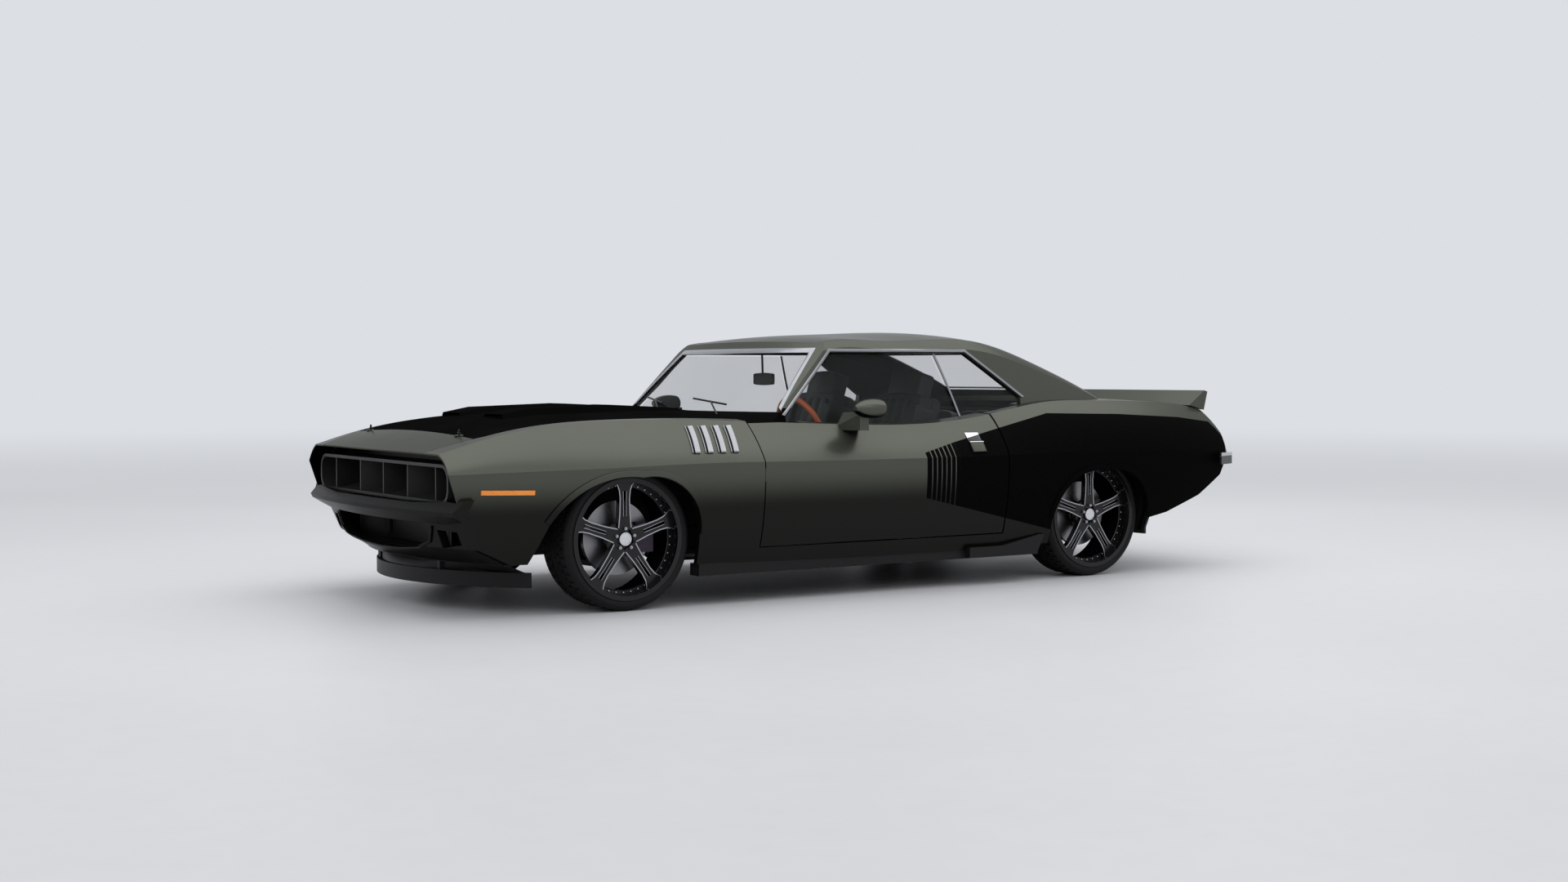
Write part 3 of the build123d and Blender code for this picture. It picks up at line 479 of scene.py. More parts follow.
def drum(name, place, radius, depth, turn=(math.pi / 2, 0.0, 0.0), sides=32):
    none_taken()
    bpy.ops.mesh.primitive_cylinder_add(vertices=sides, radius=radius, depth=depth, location=place, rotation=turn)
    return begun(name)


def applied(piece, kind, **settings):
    modifier = piece.modifiers.new(kind.lower(), kind)
    for key, value in settings.items():
        setattr(modifier, key, value)
    taken(piece)
    bpy.ops.object.modifier_apply(modifier=modifier.name)
    return piece


def softened(piece, width, steps=2, angle=30.0):
    return applied(piece, "BEVEL", width=width, segments=steps, limit_method="ANGLE", angle_limit=math.radians(angle))


def outward(piece):
    shaping(piece)
    bpy.ops.mesh.remove_doubles(threshold=0.00002)
    bpy.ops.mesh.normals_make_consistent()
    shaped()
    return piece


def copied(piece, name, shift=ORIGIN, flip=False):
    twin = piece.copy()
    twin.data = piece.data.copy()
    scene.collection.objects.link(twin)
    twin.scale = (1.0, -1.0 if flip else 1.0, 1.0)
    twin.location = shift
    taken(twin)
    begun(name)
    return outward(twin) if flip else twin


def merged(name, *pieces):
    taken(pieces[0])
    for piece in pieces:
        piece.select_set(True)
    bpy.ops.object.join()
    pieces[0].name = name
    return pieces[0]


def fitted(piece, material, body="chassis", angle=40.0):
    piece.data.materials.clear()
    piece.data.materials.append(material)
    taken(piece)
    bpy.ops.object.shade_smooth_by_angle(angle=math.radians(angle))
    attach(piece, body)
    return piece


def both_sides(piece, material, body="chassis"):
    """Fits a piece of the left side and its mirrored twin; a {} in the body's name takes left or right."""
    twin = copied(piece, piece.name + "_right", flip=True)
    piece.name += "_left"
    fitted(piece, material, body.format("left"))
    fitted(twin, material, body.format("right"))


def lines(name, *paths):
    """One mesh of open edge chains, drawn corner by corner."""
    none_taken()
    bpy.ops.mesh.primitive_plane_add(size=0.01)
    piece = begun(name)
    shaping(piece, "VERT")
    bpy.ops.mesh.delete(type="VERT")
    for path in paths:
        bpy.ops.mesh.select_all(action="DESELECT")
        bpy.ops.mesh.primitive_plane_add(size=0.001, location=path[0])
        bpy.ops.mesh.merge(type="CENTER")
        for a, b in zip(path, path[1:]):
            bpy.ops.mesh.extrude_vertices_move(TRANSFORM_OT_translate={"value": Vector(b) - Vector(a)})
    shaped()
    return piece


def turned(name, profile, centre, axis, steps=40):
    """A profile spun a full turn about an axis through centre."""
    piece = lines(name, profile)
    shaping(piece, "EDGE")
    bpy.ops.mesh.spin(steps=steps, angle=FULL_TURN, center=centre, axis=axis)
    shaped()
    return outward(piece)


def spun(name, centre, axis, out, steps, count=40):
    """A profile by reach out from an axis and distance along it, turned about the axis through centre."""
    profile = [Vector(centre) + Vector(out) * reach + Vector(axis) * along for reach, along in steps]
    return turned(name, profile, centre, axis, count)


def ring_of(piece, copies=5, centre=ORIGIN, axis=LEFT):
    """Copies of a piece round an axis, in one mesh."""
    shaping(piece)
    bpy.ops.mesh.spin(steps=copies, dupli=True, angle=FULL_TURN, center=centre, axis=axis)
    shaped()
    return outward(piece)


def side_on(points, y=BESIDE_BODY):
    return [(x, y, z) for x, z in points]


def end_on(points, x):
    return [(x, y, z) for y, z in points]


def band(name, one_edge, other_edge, pitch, facing):
    """A ribbon between two paths with as many corners, its face turned towards facing."""
    count = [max(1, round((Vector(b) - Vector(a)).length / pitch)) for a, b in zip(one_edge, one_edge[1:])]
    paths = []
    for corners in (one_edge, other_edge):
        path = [Vector(corners[0])]
        for n, a, b in zip(count, corners, corners[1:]):
            path += [Vector(a).lerp(Vector(b), i / n) for i in range(1, n + 1)]
        paths.append(path)
    piece = lines(name, *paths)
    shaping(piece, "EDGE")
    bpy.ops.mesh.bridge_edge_loops()
    bpy.ops.mesh.normals_make_consistent()
    shaped()
    total = sum((f.normal * f.area for f in piece.data.polygons), Vector())
    if total.dot(Vector(facing)) < 0:
        shaping(piece)
        bpy.ops.mesh.flip_normals()
        shaped()
    return piece


def laid_on(piece, node, axis, both=False):
    """Drops a ribbon along one axis onto a panel."""
    return applied(piece, "SHRINKWRAP", target=NODES[node], wrap_method="PROJECT", offset=0.0006,
                   use_negative_direction=True, use_positive_direction=both, **{"use_project_" + axis: True})


def thick(piece, depth, round_off):
    applied(piece, "SOLIDIFY", thickness=depth, offset=1.0, use_even_offset=False)
    return softened(piece, round_off, 2, 50.0)


def bar(name, start, end, radius, sides=10):
    """A round bar between two points with softened ends."""
    run = Vector(end) - Vector(start)
    upright = run.to_track_quat("Z", "Y").to_euler()
    piece = drum(name, (Vector(start) + Vector(end)) / 2, radius, run.length, upright, sides)
    return softened(piece, radius * 0.35)


def touch(node, start, heading):
    """Where a straight line from start first meets a panel."""
    return NODES[node].ray_cast(Vector(start), Vector(heading).normalized())[1]


# Wheels, each form made round the origin with its axle along Y

TYRE_STEPS = 150
TYRE_HALF = ((0.018, 0.318), (0.0185, 0.3115), (0.0265, 0.3115), (0.027, 0.318), (0.054, 0.318), (0.0545, 0.3115),
             (0.0625, 0.3115), (0.063, 0.3178), (0.088, 0.3165), (0.1, 0.3128), (0.109, 0.306), (0.1145, 0.2985),
             (0.1152, 0.2965), (0.1168, 0.296), (0.1178, 0.288), (0.1172, 0.279), (0.1135, 0.2735),
             (0.1135, 0.2718), (0.1105, 0.2705), (0.108, 0.264), (0.1052, 0.2595))
TREAD_REACH = 0.3125
SPOKE = ((0.049, 0.034), (0.11, 0.028), (0.18, 0.026), (0.215, 0.03), (0.238, 0.039), (0.25, 0.052))
SLOT = ((0.1, 0.005), (0.212, 0.007))
FACE_Y = 0.082
FLANGE = ((0.2502, 0.058), (0.2502, 0.065), (0.231, 0.065), (0.228, 0.062), (0.228, 0.058), (0.2502, 0.058))
CAP = ((0, 0.07), (0.0315, 0.07), (0.0315, 0.088), (0.0295, 0.0905), (0.0255, 0.0905), (0.0245, 0.0892),
       (0.02, 0.0905), (0.01, 0.0925), (0, 0.0932))


def tread_tyre():
    """A tyre's section spun round, with grooves pressed into the tread blocks."""
    section = [(0.0, -y, r) for y, r in reversed(TYRE_HALF)] + [(0.0, y, r) for y, r in TYRE_HALF]
    tyre = turned("tread_tyre", section + [section[0]], ORIGIN, LEFT, TYRE_STEPS)

    def tread_block(face):
        spot = face.calc_center_median()
        if math.hypot(spot.x, spot.z) < TREAD_REACH or face.normal.cross(Vector(LEFT)).length < 0.8:
            return False
        turn = round((math.atan2(spot.x, spot.z) + math.pi) / (FULL_TURN / TYRE_STEPS) - 0.5)
        offset = (abs(spot.y) <= 0.06) + (spot.y < 0)
        return abs(spot.y) > 0.03 and (turn + offset) % 3 == 0

    shaping(tyre)
    pick(tread_block)
    bpy.ops.mesh.inset(thickness=0.0022)
    bpy.ops.transform.shrink_fatten(value=-0.0055)
    shaped()
    return tyre


def spoke_edges():
    """Bright edges of the five spokes and of their slots, on the spoke face."""
    strips = []
    for side in (1, -1):
        for name, outline, width, pitch in (("edge", SPOKE, -0.0055, 0.02), ("slot_lip", SLOT, 0.0026, 0.03)):
            edge = [(side * w, FACE_Y, r) for r, w in outline]
            back = [(side * (w + width), FACE_Y, r) for r, w in outline]
            strips.append(band(name, edge, back, pitch, LEFT))
    return ring_of(thick(merged("spoke_edges", *strips), 0.0024, 0.0008))


def lug_nuts():
    nut = drum("lug_nuts", (0.0, FACE_Y + 0.006, 0.0465), 0.0085, 0.012, sides=6)
    shaping(nut)
    pick(lambda f: f.normal.y > 0.9)
    bpy.ops.mesh.inset(thickness=0.0022)
    pulled(0, 0.004, 0)
    shaped()
    return ring_of(softened(nut, 0.0008))


def rivets():
    rivet = drum("rivets", (0.0, 0.0675, 0.2385), 0.0042, 0.005, sides=10)
    shaping(rivet)
    pick(lambda f: f.normal.y > 0.9)
    pulled(0, 0.0016, 0)
    bpy.ops.transform.resize(value=(0.6, 1, 0.6))
    shaped()
    return ring_of(rivet, 40)


tyre_form = tread_tyre()
wheel_forms = ((spoke_edges(), SILVER), (lug_nuts(), SILVER), (rivets(), SILVER),
               (spun("rivet_flange", ORIGIN, LEFT, UP, FLANGE, 96), None),
               (spun("centre_cap", ORIGIN, LEFT, UP, CAP, 48), CHROME))
for place, axle, side in PLACES:
    spot = (AXLE_X[axle], side * WHEEL_Y, AXLE_Z)
    tyre = copied(tyre_form, "road_tyre_" + place, spot)
    fitted(tyre, FINISH_OF["tyre_" + place], "wheel_" + place, 35.0)
    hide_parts("tyre_" + place)
    for form, material in wheel_forms:
        dressed = copied(form, form.name + "_" + place, spot, side < 0)
        fitted(dressed, material or FINISH_OF["rim_" + place], "wheel_" + place)
for form in (tyre_form, *[form for form, material in wheel_forms]):
    bpy.data.objects.remove(form)

# Window bright work

WINDOW_HOLE = ((0.548, 0.846), (0.264, 1.1505), (-0.562, 1.1525), (-0.912, 0.924))
WINDOW_WIDE = ((0.564, 0.851), (0.27, 1.1645), (-0.566, 1.1665), (-0.932, 0.928))
DIVIDER_FRONT = ((-0.3622, 1.144), (-0.4812, 0.83))
DIVIDER_BACK = ((-0.3752, 1.144), (-0.4942, 0.83))
SCREEN_OUTER = ((-0.718, 0.868), (-0.6205, 1.168), (0.6205, 1.168), (0.718, 0.868))
SCREEN_INNER = ((-0.69, 0.884), (-0.598, 1.143), (0.598, 1.143), (0.69, 0.884))

for name, node, edges, depth, round_off in (
        ("drip_rail", "roof", (WINDOW_HOLE, WINDOW_WIDE), 0.009, 0.003),
        ("glass_divider", "quarter_glass", (DIVIDER_FRONT, DIVIDER_BACK), 0.006, 0.002)):
    strip = band(name, *[side_on(edge, BESIDE_WINDOW) for edge in edges], 0.03, LEFT)
    both_sides(thick(laid_on(strip, node, "y"), depth, round_off), SATIN)
screen_trim = band("screen_trim", end_on(SCREEN_OUTER, BEFORE_SCREEN),
                   end_on(SCREEN_INNER, BEFORE_SCREEN), 0.04, AHEAD)
fitted(thick(laid_on(screen_trim, "windscreen", "x"), 0.008, 0.003), SATIN)

# Seats

SEAT_Y = 0.375
BASE_LEAN, SEAT_LEAN, BENCH_LEAN = -3.0, -16.6, -13.4
SEAT_SEAMS, BENCH_SEAMS = (-0.075, 0.0, 0.075), (-0.13, 0.0, 0.13)


def pad(name, middle, size, lean=0.0, seams=(), puff=0.14, cuts=7):
    """A stuffed pad: a box cut into a grid, rounded towards a sphere, with sewn channels at the given widths."""
    none_taken()
    bpy.ops.mesh.primitive_cube_add(size=1.0, location=middle, scale=size, rotation=(0.0, math.radians(lean), 0.0))
    piece = begun(name)
    shaping(piece)
    bpy.ops.mesh.subdivide(number_cuts=cuts)
    bpy.ops.transform.tosphere(value=puff)
    shaped()
    applied(piece, "SUBSURF", levels=1)
    for seam in seams:
        shaping(piece)
        pick(lambda v: abs(v.co.y - middle[1] - seam) < size[1] * 0.024, "VERT")
        bpy.ops.transform.shrink_fatten(value=-0.009)
        shaped()
    return applied(piece, "SUBSURF", levels=1)


def bucket_seat(name, y):
    pads = [pad("base", (-0.075, y, 0.325), (0.44, 0.3, 0.19), BASE_LEAN, SEAT_SEAMS)]
    pads += [pad("base_" + hand, (-0.075, y + side * 0.18, 0.345), (0.44, 0.092, 0.21), BASE_LEAN, puff=0.1)
             for hand, side in HANDS]
    pads.append(pad("back", (-0.35, y, 0.66), (0.115, 0.29, 0.53), SEAT_LEAN, SEAT_SEAMS))
    pads += [pad("back_" + hand, (-0.338, y + side * 0.178, 0.64), (0.155, 0.094, 0.5), SEAT_LEAN, puff=0.1)
             for hand, side in HANDS]
    pads += [pad("shoulder", (-0.42, y, 0.855), (0.105, 0.38, 0.16), SEAT_LEAN, puff=0.12),
             pad("head", (-0.462, y, 0.968), (0.09, 0.265, 0.165), SEAT_LEAN, puff=0.18),
             pad("shell", (-0.412, y, 0.64), (0.06, 0.4, 0.6), SEAT_LEAN, puff=0.06, cuts=5)]
    return merged(name, *pads)


for hand, side in HANDS:
    cushion = bucket_seat("bucket_seat_" + hand, side * SEAT_Y)
    fitted(cushion, SEAT_LEATHER, angle=60.0)
    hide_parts("seat_" + hand)

bench_pads = [pad("bench_base", (-0.815, side * 0.29, 0.345), (0.36, 0.53, 0.21), BASE_LEAN, BENCH_SEAMS, 0.1)
              for side in (1, -1)]
bench_pads += [pad("bench_back", (-1.06, side * 0.29, 0.635), (0.11, 0.53, 0.42), BENCH_LEAN, BENCH_SEAMS, 0.1)
               for side in (1, -1)]
bench_pads.append(pad("bench_middle", (-0.83, 0.0, 0.42), (0.33, 0.1, 0.07), BASE_LEAN, puff=0.1))
bench = merged("rear_bench", *bench_pads)
fitted(bench, SEAT_LEATHER, angle=60.0)
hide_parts("rear_seat")

# Small fittings

PIN_X, PIN_Y = 2.102, 0.513
WIPER_X, WIPER_REACH = 0.742, 0.4
MIRROR_X, MIRROR_Y, MIRROR_Z = 0.16, 0.952, 0.884
LAMP_X, LAMP_Y, LAMP_Z = 2.14, 0.668, 0.574
PIPE_X, PIPE_Y, PIPE_Z = -2.19, 0.34, 0.3
PIPE_AXIS, PIPE_SIDE = (-0.94, 0.0, -0.342), (-0.342, 0.0, 0.94)
BEZEL_STEPS = ((0.0565, 0), (0.0565, 0.03), (0.06, 0.033), (0.0645, 0.03), (0.0645, 0), (0.0565, 0))
GLASS_STEPS = ((0, -0.0002), (0.038, -0.0002), (0.036, -0.0022), (0, -0.0022))
TIP_STEPS = ((0.0302, -0.065), (0.034, -0.065), (0.0362, 0.008), (0.0345, 0.012), (0.032, 0.01), (0.0302, -0.065))
BORE_STEPS = ((0, 0.0016), (0.024, 0.0016), (0.0312, 0.003), (0.0314, 0.0008))


def hood_pin(name, y):
    x, y, z = foot = touch("hood", (PIN_X, y, 1.2), DOWN)
    plate = spun("plate", foot, UP, AHEAD, ((0, -0.001), (0.021, -0.004), (0.021, 0.0015), (0.018, 0.0035),
                                            (0.007, 0.0045), (0, 0.0045)), 28)
    post = spun("post", foot, UP, AHEAD, ((0, 0), (0.0048, 0), (0.0048, 0.022), (0.003, 0.027), (0, 0.028)), 16)
    clip = bar("clip", (x - 0.004, y - 0.024, z + 0.012), (x + 0.004, y + 0.026, z + 0.012), 0.0022)
    return merged(name, plate, post, clip)


for hand, side in HANDS:
    fitted(hood_pin("hood_pin_" + hand, side * PIN_Y), TRIM_GLOSS, "hood")


def handle_part(name, x0, x1, z0, z1, proud):
    """One plate of the flush door handle, laid on the left door's skin."""
    plate = band(name, side_on(((x0, z0), (x0, z1))), side_on(((x1, z0), (x1, z1))), 0.011, LEFT)
    shaping(plate)
    bpy.ops.mesh.subdivide(number_cuts=2)
    shaped()
    return thick(laid_on(plate, "door_left", "y"), proud, 0.0025)


handle_lip = band("handle_lip", side_on(((-0.418, 0.7045), (-0.502, 0.7045))),
                  side_on(((-0.418, 0.7095), (-0.502, 0.7095))), 0.02, LEFT)
both_sides(handle_part("handle_flap", -0.42, -0.5, 0.662, 0.704, 0.01), PAINT_PLAIN, "door_{}")
both_sides(handle_part("handle_cup", -0.42, -0.5, 0.71, 0.756, 0.003), HANDLE_PLATE, "door_{}")
both_sides(thick(laid_on(handle_lip, "door_left", "y"), 0.0125, 0.002), CHROME, "door_{}")


def wiper(name, y):
    foot = touch("cowl", (WIPER_X, y, 1.2), DOWN)
    pivot = spun("pivot", foot, UP, AHEAD, ((0, -0.004), (0.013, -0.004), (0.011, 0.014), (0, 0.016)), 20)
    low = touch("windscreen", (1.2, y - WIPER_REACH * 0.25, 0.892), BACK)
    high = touch("windscreen", (1.2, y - WIPER_REACH, 0.918), BACK)
    lift = Vector((0.008, 0, 0.007))
    arm = bar("arm", foot + Vector((0, 0, 0.011)), low.lerp(high, 0.45) + lift * 1.5, 0.0045)
    blade = bar("blade", low + lift, high + lift, 0.0052, 8)
    return merged(name, pivot, arm, blade)


for hand, y in (("left", 0.47), ("right", -0.1)):
    fitted(wiper("wiper_" + hand, y), TRIM)

view_head = pad("view_mirror_head", (0.19, 0.0, 1.02), (0.026, 0.175, 0.058), puff=0.1, cuts=5)
roof_spot = touch("roof", (0.203, 0.0, 1.06), UP)
stem = bar("stem", (0.197, 0.0, 1.03), roof_spot, 0.0058)
foot = drum("foot", roof_spot - Vector((0, 0, 0.003)), 0.018, 0.008, (0, math.radians(8), 0), 20)
fitted(merged("cabin_mirror", view_head, stem, softened(foot, 0.002)), CABIN_TRIM, angle=50.0)


for hand, side in HANDS:
    middle = (MIRROR_X, side * MIRROR_Y, MIRROR_Z)
    face = spun("mirror_glass_" + hand, middle, AHEAD, UP, GLASS_STEPS)
    shaping(face)
    bpy.ops.transform.resize(value=(1, 1.5, 1), center_override=middle)
    shaped()
    fitted(face, CHROME, "door_" + hand)
    bezel = spun("lamp_bezel_" + hand, (LAMP_X, side * LAMP_Y, LAMP_Z), AHEAD, UP, BEZEL_STEPS, 48)
    fitted(bezel, SATIN)
    pipe_end = (PIPE_X, side * PIPE_Y, PIPE_Z)
    tip = spun("exhaust_tip_" + hand, pipe_end, PIPE_AXIS, PIPE_SIDE, TIP_STEPS, 36)
    bore = spun("exhaust_bore_" + hand, pipe_end, PIPE_AXIS, PIPE_SIDE, BORE_STEPS, 36)
    fitted(bore, TRIM)
    fitted(tip, CHROME)

# Nose and wheel openings

MESH_PITCH = 0.04
MESH_ROWS = (0.53, 0.552, 0.574, 0.596, 0.618)
MESH_BAYS = ((-0.58, -0.34), (-0.222, -0.036), (0.036, 0.222), (0.34, 0.58))
FRONT_ARCH = ((1.12, 0.33), (1.196, 0.52), (1.424, 0.592), (1.69, 0.548), (1.852, 0.4))
REAR_ARCH = ((-0.955, 0.318), (-1.048, 0.486), (-1.285, 0.546), (-1.528, 0.486), (-1.618, 0.318))
ARCH_LOW_Z = 0.2
LIP_IN, LIP_OUT = 0.0015, 0.03
MOUTH_EDGE = ((0.5515, 0.396), (0.514, 0.33), (0.398, 0.294), (0.2, 0.278), (0.0, 0.274), (-0.2, 0.278),
              (-0.398, 0.294), (-0.514, 0.33), (-0.5515, 0.396))
DUCT_BACK_X, DUCT_LENGTH = 2.062, 0.17


def mesh_bay(y0, y1):
    """Brick-pattern mesh: short uprights between the level bars, every other row shifted by half a cell."""
    rows = []
    for row, z in enumerate(MESH_ROWS):
        first = y0 + (0.006 if row % 2 else 0.026)
        tick = box("tick", (2.102, first, z), (2.117, first + 0.004, z + 0.014))
        rows.append(applied(tick, "ARRAY", count=int((y1 - first) / MESH_PITCH) + 1, use_relative_offset=False,
                            use_constant_offset=True, constant_offset_displace=(0.0, MESH_PITCH, 0.0)))
    return merged("mesh_bay", *rows)


grille_mesh = merged("grille_mesh", *[mesh_bay(y0, y1) for y0, y1 in MESH_BAYS])
fitted(softened(grille_mesh, 0.0008, 1), TRIM)


def arc(start, middle, end, count=14):
    """Points on the arc, less than half a turn, through three points of a side view."""
    a, b, c = (complex(*spot) for spot in (start, middle, end))
    ratio = (c - a) / (b - a)
    centre = a + (b - a) * (ratio - abs(ratio) ** 2) / (2j * ratio.imag)
    turn = cmath.phase((c - centre) / (a - centre))
    spots = [centre + (a - centre) * cmath.rect(1.0, turn * i / count) for i in range(count + 1)]
    return [(spot.real, spot.imag) for spot in spots]


def arch_lip(name, panel, arch):
    """A rolled lip along a wheel opening, laid on its panel."""
    edge = arc(*arch[:3]) + arc(*arch[2:])[1:]
    middle = Vector((sum(x for x, z in edge) / len(edge), BESIDE_BODY, ARCH_LOW_Z))
    inner_edge, outer_edge = [], []
    for spot in side_on(edge):
        away = (Vector(spot) - middle).normalized()
        inner_edge.append(Vector(spot) + away * LIP_IN)
        outer_edge.append(Vector(spot) + away * LIP_OUT)
    lip = band(name, inner_edge, outer_edge, 0.5, LEFT)
    shaping(lip, "EDGE")
    pick(lambda edge: abs(edge.calc_length() - (LIP_OUT - LIP_IN)) < 0.001, "EDGE")
    bpy.ops.mesh.subdivide(number_cuts=3)
    shaped()
    return thick(laid_on(lip, panel, "y"), 0.0075, 0.0035)


for name, panel, arch in (("front_arch_lip", "fender_left", FRONT_ARCH), ("rear_arch_lip", "quarter_left", REAR_ARCH)):
    both_sides(arch_lip(name, panel, arch), PAINT)

mouth_lip = band("mouth_lip", end_on(MOUTH_EDGE, BEFORE_NOSE),
                 end_on([(y * 1.012, z - 0.011) for y, z in MOUTH_EDGE], BEFORE_NOSE), 0.03, AHEAD)
laid_on(mouth_lip, "front_valance", "x")
fitted(thick(mouth_lip, 0.008, 0.003), PAINT_PLAIN)


def mouth_duct():
    """A duct from the valance mouth back to the radiator, its front swept like the nose."""
    duct = box("mouth_duct", (DUCT_BACK_X, -0.535, 0.255), (DUCT_BACK_X + DUCT_LENGTH, 0.535, 0.428))
    shaping(duct)
    pick(lambda f: f.normal.x > 0.9)
    bpy.ops.mesh.delete(type="FACE")
    pick(lambda v: v.co.x < 2.1, "VERT")
    bpy.ops.transform.resize(value=(1, 0.72, 0.8))
    shaped()
    shaping(duct)
    bpy.ops.mesh.subdivide(number_cuts=7)
    mesh = bmesh.from_edit_mesh(duct.data)
    for corner in mesh.verts:
        corner.co.x -= 0.19 * (corner.co.y / 0.8) ** 2 * (corner.co.x - DUCT_BACK_X) / DUCT_LENGTH
    bmesh.update_edit_mesh(duct.data)
    shaped()
    return applied(duct, "SOLIDIFY", thickness=0.004, offset=-1.0)


def splash_panel():
    """A thin closing panel between the chin spoiler and the valance."""
    across = [-0.72 + step * 0.06 for step in range(25)]
    low = [(2.184 - 0.318 * (y / 0.735) ** 2, y, 0.18) for y in across]
    high = [(2.152 - 0.195 * (y / 0.8) ** 2, y, 0.232) for y in across]
    panel = band("splash_panel", low, high, 0.5, AHEAD)
    shaping(panel, "EDGE")
    pick(lambda edge: abs(edge.verts[0].co.z - edge.verts[1].co.z) > 0.02, "EDGE")
    bpy.ops.mesh.subdivide(number_cuts=2)
    shaped()
    return thick(panel, 0.003, 0.001)


fitted(mouth_duct(), TRIM)
fitted(splash_panel(), TRIM)

# Fender gills

GILL_PITCH = 0.0675
GILL_TOP, GILL_LOW = (1.1206, 0.807), (1.1455, 0.69)
GILL_BACK_RISE = 0.002


def gill_strip(name, front, back):
    """One strip of a gill on the left fender, by its reach before the gill's leading edge."""
    one = ((GILL_TOP[0] + front, GILL_TOP[1]), (GILL_LOW[0] + front, GILL_LOW[1]))
    two = ((GILL_TOP[0] + back, GILL_TOP[1] + GILL_BACK_RISE), (GILL_LOW[0] + back, GILL_LOW[1]))
    return laid_on(band(name, side_on(one), side_on(two), 0.008, LEFT), "fender_left", "y")


def four_gills(name, *strips):
    """The strips of one gill, repeated along the fender and on the other side."""
    rows = []
    for number in range(4):
        for front, back, depth, edge in strips:
            strip = gill_strip(name, front - GILL_PITCH * number, back - GILL_PITCH * number)
            rows.append(thick(strip, depth, edge))
    left = merged(name, *rows)
    return merged(name, left, copied(left, name + "_far", flip=True))


gill_blades = four_gills("gill_blades", (0.0, -0.0275, 0.0065, 0.002), (0.0135, 0.0095, 0.0045, 0.001))
fitted(gill_blades, GILL_METAL)
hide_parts("fender_gills")
fitted(four_gills("gill_slots", (0.0095, 0.0, 0.0015, 0.0004)), TRIM)

# Tail

LAMP_OUTER = ((0.245, 0.659), (0.695, 0.659), (0.695, 0.757), (0.245, 0.757))
LAMP_INNER = ((0.252, 0.666), (0.688, 0.666), (0.688, 0.751), (0.252, 0.751))
LAMP_BARS, LAMP_BAR_HALF = (0.361, 0.47, 0.579), 0.003
REAR_OUTER = ((-0.568, 0.9635), (-0.5255, 1.1545), (0.5255, 1.1545), (0.568, 0.9635))
REAR_INNER = ((-0.552, 0.9695), (-0.511, 1.149), (0.511, 1.149), (0.552, 0.9695))


def looped(name, node, outer, inner, depth):
    """A closed frame between two outlines seen from behind, laid on its panel."""
    paths = [end_on((*outline, outline[0]), BEHIND_TAIL) for outline in (outer, inner)]
    return thick(laid_on(band(name, *paths, 0.02, BACK), node, "x", both=True), depth, 0.0012)


def tail_lamp_frame():
    """The dark frame of the left tail lamp with three upright bars."""
    parts = [looped("lamp_frame", "tail_lamps", LAMP_OUTER, LAMP_INNER, 0.004)]
    low, high = LAMP_INNER[0][1], LAMP_INNER[2][1]
    for middle in LAMP_BARS:
        edges = [end_on(((y, low), (y, high)), BEHIND_TAIL)
                 for y in (middle - LAMP_BAR_HALF, middle + LAMP_BAR_HALF)]
        upright = band("lamp_bar", *edges, 0.012, BACK)
        parts.append(thick(laid_on(upright, "tail_lamps", "x", both=True), 0.004, 0.001))
    return merged("tail_lamp_frame", *parts)


both_sides(tail_lamp_frame(), TRIM_GLOSS)
fitted(looped("rear_glass_trim", "rear_glass", REAR_OUTER, REAR_INNER, 0.006), SATIN)

# Under the hood

COVER_Y, COVER_HALF = 0.205, 0.062
FAN_X, FAN_Z = 1.7, 0.5
CLEANER_X = 1.33
CLEANER_STEPS = ((0, 0.716), (0.09, 0.716), (0.1, 0.726), (0.125, 0.728), (0.125, 0.764), (0.132, 0.768),
                 (0.13, 0.774), (0.1, 0.776), (0.09, 0.78), (0.03, 0.782), (0.028, 0.778), (0, 0.778))
SHROUD_STEPS = ((1.66, 0.715), (1.74, 0.715), (1.76, 0.725), (1.76, 0.73), (1.735, 0.721), (1.66, 0.721),
                (1.66, 0.715))
HUB_STEPS = ((1.638, 0.5), (1.638, 0.545), (1.712, 0.545), (1.718, 0.535), (1.718, 0.5))
HOSE_PATH = ((1.55, -0.1, 0.722), (1.64, -0.11, 0.741), (1.8, -0.15, 0.741), (1.93, -0.2, 0.7),
             (2.04, -0.22, 0.64))


def valve_cover(name, y):
    cover = box("cover", (1.07, y - COVER_HALF, 0.714), (1.59, y + COVER_HALF, 0.742))
    shaping(cover)
    pick(lambda f: f.normal.z > 0.9)
    bpy.ops.mesh.inset(thickness=0.012)
    pulled(0, 0, 0.026)
    bpy.ops.transform.resize(value=(0.96, 0.82, 1))
    bpy.ops.mesh.inset(thickness=0.01)
    pulled(0, 0, -0.004)
    shaped()
    softened(cover, 0.004)
    cap_steps = ((0, 0.762), (0.022, 0.762), (0.022, 0.776), (0.017, 0.78), (0, 0.78))
    return merged(name, cover, spun("cap", (1.5, y, 0), UP, AHEAD, cap_steps, 20))


for hand, side in HANDS:
    fitted(valve_cover("valve_cover_" + hand, side * COVER_Y), SATIN)
fitted(spun("air_cleaner", (CLEANER_X, 0, 0), UP, AHEAD, CLEANER_STEPS, 64), TRIM_GLOSS)


